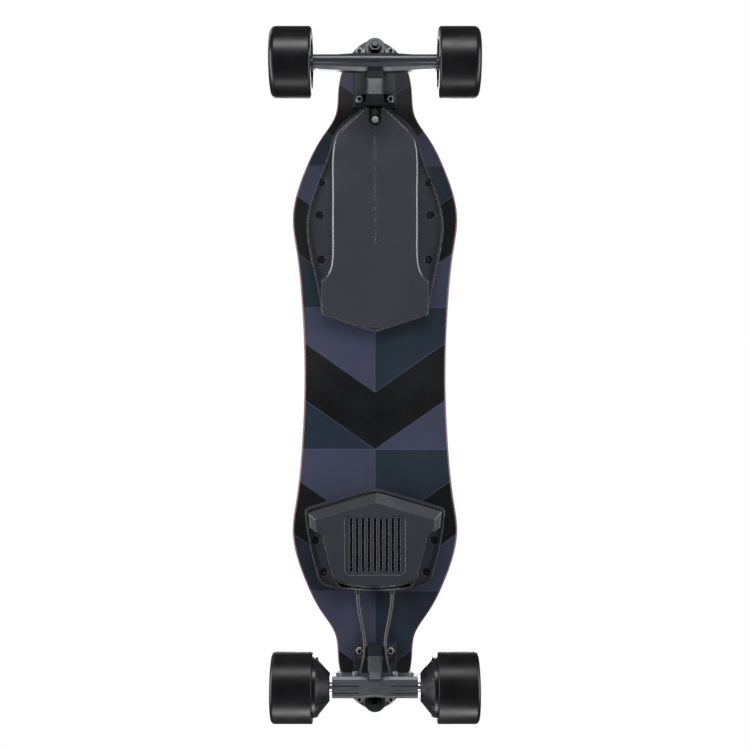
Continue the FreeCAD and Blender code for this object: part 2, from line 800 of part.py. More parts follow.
spacers = []
speed_washers = []
axle_nuts = []
for side in SIDES:
    title = "Front" + side.title()
    tyre = front_tyre(title + "Tyre")
    node(f"front_{side}_tyre", on_axle("front", side, tyre, "front_wheel_face"))
    core = wheel_core(title + "Core")
    node(f"front_{side}_wheel_core", on_axle("front", side, core, "front_wheel_face"))
    pair = []
    for place in ("bearing_setback", "second_bearing"):
        ring = bearing(title + "Bearing", "axle_radius + running_gap", "bearing_radius",
                       "bearing_width")
        pair.append(on_axle("front", side, ring, f"front_wheel_face + {place}"))
    node(f"front_{side}_bearings", group(*pair))
    spacer = turned(title + "Spacer", [
        ("0", "axle_radius"), ("0", "axle_radius + 1.5"),
        ("bearing_spacer - 2 * running_gap", "axle_radius + 1.5"),
        ("bearing_spacer - 2 * running_gap", "axle_radius")])
    spacers.append(on_axle("front", side, spacer,
                           "front_wheel_face + bearing_setback + bearing_width + running_gap"))
    for place in ("bearing_setback - speed_washer_thick - running_gap",
                  "second_bearing + bearing_width + running_gap"):
        washer = turned(title + "SpeedWasher", [
            ("0", "axle_radius"), ("0", "axle_radius + 2.2"),
            ("speed_washer_thick", "axle_radius + 2.2"), ("speed_washer_thick", "axle_radius")])
        speed_washers.append(on_axle("front", side, washer, f"front_wheel_face + {place}"))
    nut = cut(hexagon("13", "7"), cylinder("axle_radius", "12", ("0", "0", "-2")))
    sign = SIDES[side]
    put(nut, (f"{sign} * (front_wheel_face + nut_place)", "-truck_place", "axle_height"),
        Rotation(Vector(0, 1, 0), 90 * sign))
    axle_nuts.append(nut)

node("front_bearing_spacers", group(*spacers))
node("front_speed_washers", group(*speed_washers))
node("front_axle_nuts", group(*axle_nuts))

axle = cylinder("axle_radius", "2 * (front_wheel_face + nut_place + 9)",
                ("-(front_wheel_face + nut_place + 9)", "-truck_place", "axle_height"),
                Rotation(Vector(0, 1, 0), 90))
node("front_axle", axle)

# ---------------------------------------------------------------- rear hub motors

CAN_END = "wheel_width - 1"
COVER_SCREWS = 6
MAGNETS = 14
TEETH = 12
AXIAL = Rotation(Vector(0, 1, 0), 90)


def rear_tyre(name):
    can = "motor_can_radius"
    outer = "wheel_diameter / 2"
    body = turned(name, [
        ("0", can), ("0", outer), ("wheel_width", outer), ("wheel_width", can)])
    round_edges(body, "rear_tyre_round", at_rim(size(outer), size("wheel_width")))
    return round_edges(body, "1.5", at_rim(size(outer), 0))


def around(count, make):
    """Repeats a thing round the X axis."""
    return [make(360 * index / count) for index in range(count)]


def ring_rod(radius, start, length, ring, name_angle):
    """A cylinder along X that stands at an angle on a ring round the axis."""
    angle = math.radians(name_angle)
    return cylinder(radius, length,
                    (start, f"({ring}) * {math.cos(angle)}", f"({ring}) * {math.sin(angle)}"),
                    AXIAL)


def rotor_can(name):
    can = "motor_can_radius"
    inside = "motor_can_radius - motor_can_wall"
    seat = "motor_bearing_radius"
    body = turned(name, [
        ("2", inside), ("2", can), (CAN_END, can), (CAN_END, "0"), (f"{CAN_END} - 3.5", "0"),
        (f"{CAN_END} - 3.5", seat), (f"{CAN_END} - 3.5 - motor_bearing_width", seat),
        (f"{CAN_END} - 3.5 - motor_bearing_width", f"{seat} + 4"),
        (f"{CAN_END} - 4", f"{seat} + 4"), (f"{CAN_END} - 4", inside)])
    screw_holes = around(COVER_SCREWS, lambda angle: ring_rod(
        "1.2", "1", "8", "motor_screw_ring", angle))
    return cut(body, *screw_holes)


def motor_cover(name):
    can = "motor_can_radius"
    inside = "motor_can_radius - motor_can_wall"
    seat = "motor_bearing_radius"
    tip = "-(rear_wheel_face - rear_hanger_half - 3)"
    body = turned(name, [
        (tip, "shaft_radius + 1"), (tip, "17"), ("-4.5", f"{can} + 0.5"), ("0", f"{can} + 0.5"),
        ("0", can), ("2", can), ("2", inside), ("-5", inside),
        (f"{tip} + 1.5 + motor_bearing_width", "18"),
        (f"{tip} + 1.5 + motor_bearing_width", seat), (f"{tip} + 1.5", seat),
        (f"{tip} + 1.5", "shaft_radius + 1")])
    pockets = around(COVER_SCREWS, lambda angle: ring_rod(
        "2.7", "-20", "16", "motor_screw_ring", angle))
    screw_holes = around(COVER_SCREWS, lambda angle: ring_rod(
        "1.2", "-5", "8", "motor_screw_ring", angle))
    return cut(body, *(pockets + screw_holes))


def cover_screws():
    """Small cap screws, sunk in the cover's slope."""
    def screw(angle):
        whole = fuse(ring_rod("2.5", "-7", "3", "motor_screw_ring", angle),
                     ring_rod("1.2", "-4", "12", "motor_screw_ring", angle))
        return cut(whole, ring_rod("1.1", "-8", "2.4", "motor_screw_ring", angle))
    return group(*around(COVER_SCREWS, screw))


def stator(outer, inner, start, length):
    """Laminated iron with slots for the windings."""
    ring = Part.makeCylinder(outer, length, Vector(start, 0, 0), Vector(1, 0, 0))
    tools = [Part.makeCylinder(inner, length, Vector(start, 0, 0), Vector(1, 0, 0))]
    for index in range(TEETH):
        slot = Part.makeBox(length, 6.4, outer - 13 - 2, Vector(start, -3.2, 13))
        mouth = Part.makeBox(length, 1.6, 6, Vector(start, -0.8, outer - 3))
        for tool in (slot, mouth):
            tool.rotate(Vector(), Vector(1, 0, 0), 360 * index / TEETH)
            tools.append(tool)
    return ring.cut(tools)


def windings(outer, start, length):
    coils = []
    for index in range(TEETH):
        coil = Part.makeBox(length + 3, 5.8, outer - 13 - 3, Vector(start - 1.5, -2.9, 13.5))
        coil.rotate(Vector(), Vector(1, 0, 0), 360 * index / TEETH)
        coils.append(coil)
    return Part.makeCompound(coils)


def magnets(outer, inner, start, length):
    ring = Part.makeCylinder(outer, length, Vector(start, 0, 0), Vector(1, 0, 0))
    tools = [Part.makeCylinder(inner, length, Vector(start, 0, 0), Vector(1, 0, 0))]
    for index in range(MAGNETS):
        gap = Part.makeBox(length, 1, outer, Vector(start, -0.5, 0))
        gap.rotate(Vector(), Vector(1, 0, 0), 360 * index / MAGNETS)
        tools.append(gap)
    return ring.cut(tools)


stators = []
coil_sets = []
shafts = []
for side in SIDES:
    title = "Rear" + side.title()
    face = "rear_wheel_face"
    inside = size("motor_can_radius - motor_can_wall")
    magnet_inner = inside - 2.6
    iron_outer = magnet_inner - 0.7
    iron_inner = size("shaft_radius")
    tyre = rear_tyre(title + "Tyre")
    node(f"rear_{side}_tyre", on_axle("rear", side, tyre, face))
    node(f"rear_{side}_motor_can", on_axle("rear", side, rotor_can(title + "Can"), face))
    node(f"rear_{side}_motor_cover", on_axle("rear", side, motor_cover(title + "Cover"), face))
    node(f"rear_{side}_cover_screws", on_axle("rear", side, cover_screws(), face))
    pair = []
    for place in ("-(rear_wheel_face - rear_hanger_half - 3) + 1.5",
                  f"{CAN_END} - 3.5 - motor_bearing_width"):
        ring = bearing(title + "Bearing", "shaft_radius + running_gap", "motor_bearing_radius",
                       "motor_bearing_width")
        pair.append(on_axle("rear", side, ring, f"rear_wheel_face + {place}"))
    node(f"rear_{side}_bearings", group(*pair))
    poles = formed(title + "Magnets", magnets(inside, magnet_inner, 4, 36))
    node(f"rear_{side}_magnets", on_axle("rear", side, poles, face))
    iron = formed(title + "Stator", stator(iron_outer, iron_inner, 6, 32))
    stators.append(on_axle("rear", side, iron, face))
    coils = formed(title + "Windings", windings(iron_outer, 6, 32))
    coil_sets.append(on_axle("rear", side, coils, face))
    shaft = cylinder("shaft_radius", f"rear_wheel_face + {CAN_END} - 4.5 - 24", ("24", "0", "0"),
                     AXIAL)
    shafts.append(on_axle("rear", side, group(shaft), "0"))

node("motor_stators", group(*stators))
node("motor_windings", group(*coil_sets))
node("motor_shafts", group(*shafts))

# ---------------------------------------------------------------- rear clamp screws and leads

def clamp_screws():
    screws = []
    for across in CLAMP_SCREWS:
        for side in (-1, 1):
            head_out = -15.5
            head = cylinder("3.4", "4", ("0", "0", "0"))
            shank = cylinder(CLAMP_SHANK, "8", ("0", "0", "4"))
            socket = hexagon("3", "2.5", ("0", "0", "-0.5"))
            screw = cut(fuse(head, shank), socket)
            on_truck("rear", screw, f"{head_out} - 4", "axle_height - 2",
                     Rotation(Vector(1, 0, 0), -90), f"{side * across}")
            screws.append(screw)
    return group(*screws)


node("rear_clamp_screws", clamp_screws())


def lead_route(side):
    """The points of a motor lead, from the controller case to above the rear hanger."""
    points = [(23, 285, 100.5), (22.4, 299, 99.5), (20, 315, 98), (16.6, 331, 95.5),
              (13.6, 346, 91), (13, 360, 85), (15.5, 372.5, 76.5), (18.6, 382, 66.5)]
    return [Vector(side * across, along, up) for across, along, up in points]


def rounded_path(points):
    """Straight runs joined by tangent arcs, each as large as its two runs allow."""
    edges = []
    radii = []
    start = points[0]
    for before, corner, after in zip(points, points[1:], points[2:]):
        back = (before - corner).normalize()
        ahead = (after - corner).normalize()
        turn = math.pi - back.getAngle(ahead)
        trim = 0.45 * min((before - corner).Length, (after - corner).Length)
        radius = trim / math.tan(turn / 2)
        radii.append(radius)
        first = corner + back * trim
        last = corner + ahead * trim
        to_middle = (back + ahead).normalize()
        centre = corner + to_middle * (radius / math.cos(turn / 2))
        edges.append(Part.LineSegment(start, first).toShape())
        edges.append(Part.Arc(first, centre - to_middle * radius, last).toShape())
        start = last
    edges.append(Part.LineSegment(start, points[-1]).toShape())
    return Part.Wire(edges), radii


def motor_lead(side, name):
    path, radii = rounded_path(lead_route(side))
    radius = size("lead_diameter / 2")
    start = path.Edges[0]
    circle = Part.Wire(Part.Circle(start.valueAt(start.FirstParameter),
                                   start.tangentAt(start.FirstParameter), radius).toShape())
    tube = path.makePipeShell([circle], True, True)
    print(name, "radii", [round(item, 1) for item in radii],
          "length", round(path.Length, 1),
          "volume ratio", round(tube.Volume / (math.pi * radius ** 2 * path.Length), 4))
    return tube


def grommet(start, way, radius, collar, length, buried):
    """A soft bush for a lead: a thin neck in the wall and a collar outside it."""
    neck = rod(start - way * buried, start, radius)
    ring = Part.makeCone(collar, radius, length, start, way)
    return neck.fuse(ring)


hanger_bushes = []
for side, sign in SIDES.items():
    lead = motor_lead(sign, f"{side}_motor_lead")
    node(f"{side}_motor_lead", formed(side.title() + "MotorLead", lead))
    inlet = Vector(sign * LEAD_ACROSS, LEAD_OUT, size("axle_height + 12"))
    bush = grommet(inlet, Vector(0, 0, 1), 4, 5, 3, 3)
    hanger_bushes.append(formed(side.title() + "HangerBush", truck_shape("rear", bush)))
node("hanger_grommets", group(*hanger_bushes))

# ---------------------------------------------------------------- battery case


def smooth(points):
    curve = Part.BSplineCurve()
    curve.interpolate(Points=[Vector(across, along, 0) for across, along in points])
    return curve.toShape()


def mirrored_edges(edges):
    return edges + [edge.mirror(Vector(), Vector(1, 0, 0)) for edge in edges]


def straight(start, end):
    return Part.LineSegment(Vector(start[0], start[1], 0), Vector(end[0], end[1], 0)).toShape()


def sorted_outline(edges):
    return Part.__sortEdges__(edges)


def battery_flange_edges(inset=0):
    """The whole outline of the battery case where it meets the deck."""
    front = -size("battery_front") + inset
    back = -size("battery_back") - inset
    wide = size("battery_half_width") - inset
    mouth = 20 - inset
    corner = (57 - inset, front + 43)
    rear = (70 - inset, back - 23)
    edges = [
        straight((0, front), (mouth, front)),
        smooth([(mouth, front), (mouth + 11, front + 8.5), (mouth + 22.5, front + 18),
                (mouth + 31, front + 28), corner]),
        smooth([corner, (0.825 * wide, front + 94), (wide, front + 150),
                (0.955 * wide, back - 105), rear]),
        straight(rear, (0, back)),
    ]
    return sorted_outline(mirrored_edges(edges))


def battery_raised_edges(inset, front_inset):
    """The outline of the deep part of the battery case: slim between the screw ledges, and
    as wide as the flange behind them."""
    front = -size("battery_front") + 0.6 + front_inset
    half = size("battery_raised_half") - inset
    back = -size("battery_back") - 1.5 - inset
    mouth = 16 - inset
    rear_half = 69 - inset
    edges = [
        straight((0, front), (mouth, front)),
        smooth([(mouth, front), (mouth + 11, front + 10), (mouth + 22, front + 20.5),
                (half - 7, front + 34), (half - 2, front + 48), (half, front + 66),
                (half, front + 100),
                (half, front + 130), (half, LEDGE_BACK - 30), (half, LEDGE_BACK - 8),
                (half + 1.5, LEDGE_BACK + 8), (half + 6, LEDGE_BACK + 20),
                (rear_half + 1.5, LEDGE_BACK + 27)]),
        straight((rear_half + 1.5, LEDGE_BACK + 27), (rear_half, back - 22)),
        straight((rear_half, back - 22), (0, back)),
    ]
    return sorted_outline(mirrored_edges(edges))


LEDGE_BACK = -152
RIDGE_ROUND = 5
RIM_WIDTH = 2.4
RIM_HEIGHT = 2.4


def round_slope(profile, middle, spread):
    """A cutter turned about an upright line, so that the slope it leaves has a curved ridge."""
    wire = Part.makePolygon(profile + profile[:1])
    face = Part.Face(wire)
    face.rotate(Vector(0, middle, 0), Vector(0, 0, 1), -spread)
    return face.revolve(Vector(0, middle, 0), Vector(0, 0, 1), 2 * spread)


def battery_slope(lift):
    """What the sloping back face takes off, or off the hollow when it is lifted by the wall."""
    floor = size("case_top - battery_case_depth") + lift
    ledge = size("case_top - flange_depth")
    ridge = -size("battery_ridge") - lift
    back = -size("battery_back") - lift
    profile = [Vector(0, ridge, floor), Vector(0, back, ledge + 1), Vector(0, back + 40, ledge + 1),
               Vector(0, back + 40, floor - 10), Vector(0, ridge, floor - 10)]
    return round_slope(profile, ridge - 350, 25)


def rim(outer_edges, inner_edges, ledge):
    """A low rim that runs round a case's flange."""
    return prism(outer_edges, ledge - RIM_HEIGHT, ledge + 0.5).cut(
        prism(inner_edges, ledge - RIM_HEIGHT - 1, ledge + 1))


def counterbores(places, ledge):
    """Round recesses for the screw heads."""
    return holes(places, size("case_screw_head / 2 + 1.4"), ledge - 4, ledge + 4)


def battery_case():
    top = size("case_top")
    floor = size("case_top - battery_case_depth")
    ledge = size("case_top - flange_depth")
    wall = size("case_wall")
    flange = prism(battery_flange_edges(), ledge, top)
    raised = prism(battery_raised_edges(0, 0), floor, top)
    raised = raised.cut(battery_slope(0))
    soft = [edge for edge in raised.Edges
            if edge.BoundBox.ZMax < floor + 0.01 and edge.BoundBox.YLength > 200]
    raised = raised.makeFillet(RIDGE_ROUND, soft)
    blank = flange.fuse([raised, rim(battery_flange_edges(), battery_flange_edges(RIM_WIDTH),
                                     ledge)])
    hollow = prism(battery_raised_edges(wall + 1, 30), floor + wall, top)
    hollow = hollow.cut(battery_slope(wall))
    tools = [hollow]
    tools += counterbores(BATTERY_SCREWS, ledge)
    tools += holes(BATTERY_SCREWS, size("case_screw_diameter / 2 + 0.2"), ledge, top + 1)
    tools.append(Part.makeBox(1.6, GROOVE_BACK - GROOVE_FRONT, 1.2,
                              Vector(-0.8, GROOVE_FRONT, floor - 0.2)))
    tools += recess_tools(floor)
    return blank.cut(tools).removeSplitter()


GROOVE_FRONT = -size("battery_front") + 34
GROOVE_BACK = -171
RECESS_HALF = 8.5
RECESS_BACK = -size("battery_front") + 24
RECESS_DEPTH = 4
PORT_AT = Vector(0, -size("battery_front") + 6, 0)
BUTTON_AT = Vector(0, -size("battery_front") + 15.5, 0)


def recess_tools(floor):
    """The thumb-wide recess at the case's front, with the port's and the button's holes."""
    front = -size("battery_front") - 1
    slot = Part.makeBox(2 * RECESS_HALF, RECESS_BACK - RECESS_HALF - front, RECESS_DEPTH + 1,
                        Vector(-RECESS_HALF, front, floor - 1))
    end = Part.makeCylinder(RECESS_HALF, RECESS_DEPTH + 1,
                            Vector(0, RECESS_BACK - RECESS_HALF, floor - 1))
    port = Part.makeCylinder(3.6, 10, Vector(PORT_AT.x, PORT_AT.y, floor + RECESS_DEPTH - 1))
    button = Part.makeCylinder(size("button_diameter / 2") + 0.15, 9,
                               Vector(BUTTON_AT.x, BUTTON_AT.y, floor + RECESS_DEPTH - 1))
    return [slot.fuse(end), port, button]


def gasket(edges, opening, screws):
    """A thin soft sheet between a case and the deck."""
    bottom = size("case_top")
    top = size("deck_bottom")
    whole = prism(edges, bottom, top)
    tools = [opening] + holes(screws, size("case_screw_diameter / 2 + 0.2"), bottom - 1,
                              top + 1)
    return whole.cut(tools)


def case_screws(places, floor):
    """Cap screws whose heads stand in the pockets of a case's ledge."""
    screws = []
    for across, along in places:
        at = (str(across), str(along), floor)
        head = cylinder("case_screw_head / 2", "2.6", (at[0], at[1], f"{floor} - 2.6"))
        shank = cylinder("case_screw_diameter / 2",
                         "flange_depth - 4 + gasket_thick + insert_length - 0.5", at)
        socket = hexagon("2.5", "1.8", (at[0], at[1], f"{floor} - 3.1"))
        screws.append(cut(fuse(head, shank), socket))
    return group(*screws)


def inserts(places):
    """Threaded bushes set in the deck, one above each case screw."""
    rings = []
    for across, along in places:
        at = (str(across), str(along), "deck_bottom")
        outer = cylinder("insert_radius", "insert_length", at)
        bore = cylinder("case_screw_diameter / 2", "insert_length + 2",
                        (at[0], at[1], "deck_bottom - 1"))
        rings.append(cut(outer, bore))
    return group(*rings)


POCKET_FLOOR = "case_top - flange_depth + 4"
case_floor = "case_top - battery_case_depth"


node("battery_case", formed("BatteryCase", battery_case()))

battery_opening = prism(battery_raised_edges(size("case_wall"), 30), size("case_top - 2"),
                        size("deck_bottom + 2"))
node("battery_gasket", formed("BatteryGasket", gasket(
    battery_flange_edges(), battery_opening, BATTERY_SCREWS)))
node("case_screws", case_screws(BATTERY_SCREWS + CONTROLLER_SCREWS, POCKET_FLOOR))
node("case_inserts", inserts(BATTERY_SCREWS + CONTROLLER_SCREWS))


def charge_port():
    """A socket with a flange inside the case and an open mouth in the recess."""
    floor = size(case_floor) + RECESS_DEPTH
    at = Vector(PORT_AT.x, PORT_AT.y, floor)
    barrel = Part.makeCylinder(3.5, 9, at)
    bore = Part.makeCylinder(2.75, 8, at - Vector(0, 0, 1))
    pin = Part.makeCylinder(1, 7, at + Vector(0, 0, 1))
    return barrel.cut(bore).fuse(pin).removeSplitter()


def power_button():
    """A metal push button with a slightly dished face."""
    floor = size(case_floor) + RECESS_DEPTH
    at = Vector(BUTTON_AT.x, BUTTON_AT.y, floor - 2)
    radius = size("button_diameter / 2")
    body = Part.makeCylinder(radius, 7, at)
    lower = [edge for edge in body.Edges if edge.BoundBox.ZMax < at.z + 0.01]
    dish = Part.makeSphere(14, at - Vector(0, 0, 13.4))
    return body.makeFillet(0.6, lower).cut(dish)


def port_cap():
    """A soft cap over the charge port, with a short plug and a hinge strap."""
    top = size(case_floor) + RECESS_DEPTH - 0.2
    at = Vector(PORT_AT.x, PORT_AT.y, top - 1.6)
    disc = Part.makeCylinder(4.2, 1.6, at)
    plug = Part.makeCylinder(2.1, 2.4, at)
    strap = Part.makeBox(4, 4.5, 1.2, Vector(-2, PORT_AT.y - 5.2, top - 1.4))
    pin_room = Part.makeCylinder(1.3, 1.5, at + Vector(0, 0, 1.3))
    return disc.fuse([plug, strap]).cut(pin_room).removeSplitter()


node("charge_port", formed("ChargePort", charge_port()))
node("charge_port_cap", formed("ChargePortCap", port_cap()))
node("power_button", formed("PowerButton", power_button()))

CELLS_ACROSS = 5
CELL_ROWS = 2
CELLS_FRONT = -270
BOARD_FRONT = -137


def battery_cells():
    """Cylindrical cells in two rows, their axes along the board."""
    pitch = size("cell_diameter") + 0.3
    middle = size("case_top - battery_case_depth + case_wall + cell_diameter / 2 + 0.3")
    cells = []
    for row in range(CELL_ROWS):
        for column in range(CELLS_ACROSS):
            across = (column - (CELLS_ACROSS - 1) / 2) * pitch
            along = CELLS_FRONT + row * (size("cell_length") + 1.5)
            cell = Part.makeCylinder(size("cell_diameter / 2"), size("cell_length"),
                                     Vector(across, along, middle), Vector(0, 1, 0))
            cells.append(cell)
    return Part.makeCompound(cells)


def bms_board():
    """The battery's protection board, with its switches along one edge."""
    floor = size("case_top - battery_case_depth + case_wall") + 4
    board = Part.makeBox(84, 36, 1.6, Vector(-42, BOARD_FRONT, floor))
    parts = [Part.makeBox(6, 9, 3, Vector(-36 + 10 * index, BOARD_FRONT + 8, floor + 1.6))
             for index in range(8)]
    posts = [Part.makeCylinder(2.5, 4, Vector(across, BOARD_FRONT + along, floor - 4))
             for across in (-37, 37) for along in (5, 31)]
    return board.fuse(parts + posts)


node("battery_cells", formed("BatteryCells", battery_cells()))
node("battery_board", formed("BatteryBoard", bms_board()))

# ---------------------------------------------------------------- controller case


def controller_flange_edges(inset=0):
    """The outline of the controller case where it meets the deck."""
    front = size("controller_front") + 1.15 * inset
    back = size("controller_back") - inset
    wide = size("controller_half_width") - inset
    edges = [
        smooth([(0, front), (7, front + 0.4), (14, front + 1.9), (22, front + 4.3)]),
        straight((22, front + 4.3), (wide - 6, front + 23)),
        smooth([(wide - 6, front + 23), (wide - 1.5, front + 25.5), (wide, front + 30.5)]),
        smooth([(wide, front + 30.5), (wide - 6, front + 72), (wide - 15.5, back - 24)]),
        smooth([(wide - 15.5, back - 24), (wide - 20, back - 12), (wide - 27, back - 6.5)]),
        straight((wide - 27, back - 6.5), (wide - 40, back - 3)),
        straight((wide - 40, back - 3), (0, back)),
    ]
    return sorted_outline(mirrored_edges(edges))


def controller_raised_edges(inset, front_inset):
    """The deep part of the controller case, pinched in beside the screw ledges."""
    front = size("controller_front") + 1.5 + front_inset
    back = size("controller_back") - 1 - inset
    wide = size("controller_half_width") - 2.5 - inset
    shoulder = (wide - 1, front + 44 - front_inset)
    pinch = (wide - 21.5, front + 64 - front_inset)
    heel = (wide - 37, back - 9)
    edges = [
        straight((0, front), (wide - 3, front + 25)),
        straight((wide - 3, front + 25), (wide, front + 29)),
        straight((wide, front + 29), shoulder),
        smooth([shoulder, (wide - 6, shoulder[1] + 6), (wide - 16, shoulder[1] + 10), pinch]),
        straight(pinch, heel),
        smooth([heel, (wide - 41, back - 4.5), (wide - 47, back - 2.8)]),
        straight((wide - 47, back - 2.8), (0, back)),
    ]
    return sorted_outline(mirrored_edges(edges))


def slope_cutter(start, along, ahead, spread, length):
    """What leaves a sloping face that drops from its ridge to the screw ledge."""
    rise = size("case_top - flange_depth") - size(controller_floor)
    profile = [start, start + ahead * spread + Vector(0, 0, rise),
               start + ahead * 60 + Vector(0, 0, rise), start + ahead * 60 - Vector(0, 0, 20),
               start - Vector(0, 0, 20)]
    return Part.Face(Part.makePolygon(profile + profile[:1])).extrude(along * length)


def controller_slopes(lift):
    """What the two sloping front faces and the short side slopes take off."""
    floor = size(controller_floor) + lift
    front = size("controller_front")
    apex = Vector(0, front + 16 + 1.3 * lift, floor)
    cutters = []
    for side in (-1, 1):
        along = Vector(side * 86, 25, 0).normalize()
        ahead = Vector(side * along.y * side, -abs(along.x), 0).normalize()
        cutters.append(slope_cutter(apex - along * 60, along, ahead, 14, 220))
        corner = Vector(side * (80 - lift), front + 20, floor)
        back = Vector(-side * 5, 60, 0).normalize()
        out = Vector(side * back.y, side * -back.x, 0)
        cutters.append(slope_cutter(corner, back, out, 10.5, 60))
    return cutters


VENT_SLOTS = 9
VENT_FRONT = 187
VENT_BACK = 258
PANEL_HALF = 39.5
controller_floor = "case_top - controller_case_depth"


def vent_slots(floor, wall):
    """Long slots with round ends."""
    pitch = size("vent_pitch")
    half = size("vent_slot_width / 2")
    slots = []
    for index in range(VENT_SLOTS):
        across = (index - (VENT_SLOTS - 1) / 2) * pitch
        straight_part = Part.makeBox(2 * half, VENT_BACK - VENT_FRONT - 2 * half, wall + 2,
                                     Vector(across - half, VENT_FRONT + half, floor - 1))
        ends = holes([(across, VENT_FRONT + half), (across, VENT_BACK - half)], half,
                     floor - 1, floor + wall + 1)
        slots.append(straight_part.fuse(ends))
    return slots


def controller_case():
    top = size("case_top")
    floor = size(controller_floor)
    ledge = size("case_top - flange_depth")
    wall = size("case_wall")
    flange = prism(controller_flange_edges(), ledge, top)
    raised = prism(controller_raised_edges(0, 0), floor, top).cut(controller_slopes(0))
    back = size("controller_back")
    bevel = [Vector(0, back - 9, floor), Vector(0, back, floor + 6), Vector(0, back + 20, floor + 6),
             Vector(0, back + 20, floor - 5), Vector(0, back - 9, floor - 5)]
    raised = raised.cut(round_slope(bevel, back - 170, 30))
    blank = flange.fuse([raised, rim(controller_flange_edges(),
                                     controller_flange_edges(RIM_WIDTH), ledge)])
    hollow = prism(controller_raised_edges(wall, 3.5), floor + wall, top)
    tools = [hollow.cut(controller_slopes(wall))]
    tools += counterbores(CONTROLLER_SCREWS, ledge)
    tools += holes(CONTROLLER_SCREWS, size("case_screw_diameter / 2 + 0.2"), ledge, top + 1)
    panel = Part.makeBox(2 * PANEL_HALF, VENT_BACK - VENT_FRONT + 8, 1.8,
                         Vector(-PANEL_HALF, VENT_FRONT - 4, floor - 1))
    tools.append(panel.makeFillet(7, [edge for edge in panel.Edges if edge.BoundBox.ZLength > 1]))
    tools += vent_slots(floor, wall)
    tools += [rod(Vector(side * LEAD_START.x, LEAD_START.y - 14, LEAD_START.z),
                  Vector(side * LEAD_START.x, LEAD_START.y + 1, LEAD_START.z), GROMMET_NECK)
              for side in (-1, 1)]
    return blank.cut(tools).removeSplitter()


LEAD_START = lead_route(1)[0]
GROMMET_NECK = 3.8


def case_grommets():
    """Soft bushes in the case's back wall, one for each motor lead."""
    bore = size("lead_diameter / 2") + 0.6
    bushes = []
    for side in (-1, 1):
        start = Vector(side * LEAD_START.x, LEAD_START.y, LEAD_START.z)
        body = rod(start - Vector(0, 2.5, 0), start, GROMMET_NECK).fuse(
            Part.makeCone(5, 4, 3, start, Vector(0, 1, 0)))
        bushes.append(body.cut(rod(start - Vector(0, 1, 0), start + Vector(0, 5, 0), bore)))
    return Part.makeCompound(bushes)


def heat_sink():
    """A finned plate over the slots, with each fin between two slots."""
    floor = size(controller_floor + " + case_wall") + 0.5
    pitch = size("vent_pitch")
    plate = Part.makeBox(76, 66, 3, Vector(-38, 190, floor + 7))
    fins = [Part.makeBox(2, 66, 7.5, Vector((index + 0.5) * pitch - 1, 190, floor))
            for index in range(-4, 4)]
    return plate.fuse(fins).removeSplitter()


def controller_board():
    floor = size(controller_floor + " + case_wall") + 0.5 + 10
    board = Part.makeBox(88, 72, 1.6, Vector(-44, 187, floor))
    parts = [Part.makeCylinder(4, 5, Vector(-36 + 12 * index, 200, floor + 1.6))
             for index in range(7)]
    return board.fuse(parts).removeSplitter()


opening = prism(controller_raised_edges(size("case_wall"), 10), size("case_top - 2"),
                size("deck_bottom + 2"))
node("controller_case", formed("ControllerCase", controller_case()))
node("controller_gasket", formed("ControllerGasket", gasket(
    controller_flange_edges(), opening, CONTROLLER_SCREWS)))
node("case_grommets", formed("CaseGrommets", case_grommets()))
node("heat_sink", formed("HeatSink", heat_sink()))
node("controller_board", formed("ControllerBoard", controller_board()))

# ---------------------------------------------------------------- check and write

doc.recompute()
for thing in doc.Objects:
    if "Invalid" in thing.State or "Error" in thing.State:
        raise RuntimeError(f"{thing.Label} did not compute")
for name, thing in nodes.items():
    if thing.Shape.isNull() or not thing.Shape.isValid() or thing.Shape.Volume <= 0:
        raise RuntimeError(f"{name} has no sound shape")

os.makedirs("parts", exist_ok=True)
for name, thing in nodes.items():
    thing.Shape.exportStep(f"parts/{name}.step")
print(len(nodes), "sub-parts")
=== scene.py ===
"""Electric skateboard: the finishes, motor leads and studio built round the packed frame."""

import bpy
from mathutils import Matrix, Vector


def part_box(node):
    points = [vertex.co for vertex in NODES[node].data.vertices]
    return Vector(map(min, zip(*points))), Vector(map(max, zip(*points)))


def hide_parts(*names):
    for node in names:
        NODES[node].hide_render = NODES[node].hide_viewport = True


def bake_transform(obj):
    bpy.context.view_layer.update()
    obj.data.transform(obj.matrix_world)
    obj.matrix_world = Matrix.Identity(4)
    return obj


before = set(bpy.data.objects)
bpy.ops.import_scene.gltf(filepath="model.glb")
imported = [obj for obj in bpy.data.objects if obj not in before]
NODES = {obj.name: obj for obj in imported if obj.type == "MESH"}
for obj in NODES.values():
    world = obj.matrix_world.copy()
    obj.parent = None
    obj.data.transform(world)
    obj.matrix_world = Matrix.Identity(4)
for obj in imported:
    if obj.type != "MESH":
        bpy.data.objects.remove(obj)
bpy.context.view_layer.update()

import math

import bmesh
import bpy
from mathutils import Vector

bl_info = {
    "name": "Electric Skateboard",
    "version": (1, 0, 0),
    "blender": (4, 5, 0),
    "location": "3D View > Sidebar > Skateboard",
    "description": "Finishes, motor leads and a studio for an electric skateboard",
    "category": "Object",
}

MM = 0.001

# shared by every finish: how much of the paler edge colour, partly rubbing and partly a
# painted highlight, an edge takes, how much the clouds break it up, and how sharp a clear coat
# is
WEAR_AND_HIGHLIGHT_SHARE = 0.6
WEAR_AND_HIGHLIGHT_PATCHINESS = 0.35
COAT_ROUGHNESS = 0.12
BEVEL_SAMPLES = 4


# ---------------------------------------------------------------- colours and nodes

def linear(code):
    """An sRGB hex colour as the linear RGBA that shaders take."""
    values = [int(code[i:i + 2], 16) / 255 for i in (1, 3, 5)]
    return [v / 12.92 if v <= 0.04045 else ((v + 0.055) / 1.055) ** 2.4 for v in values] + [1.0]


def rgba(colour):
    """A hex code or a colour property as a linear RGBA list."""
    return linear(colour) if isinstance(colour, str) else list(colour)


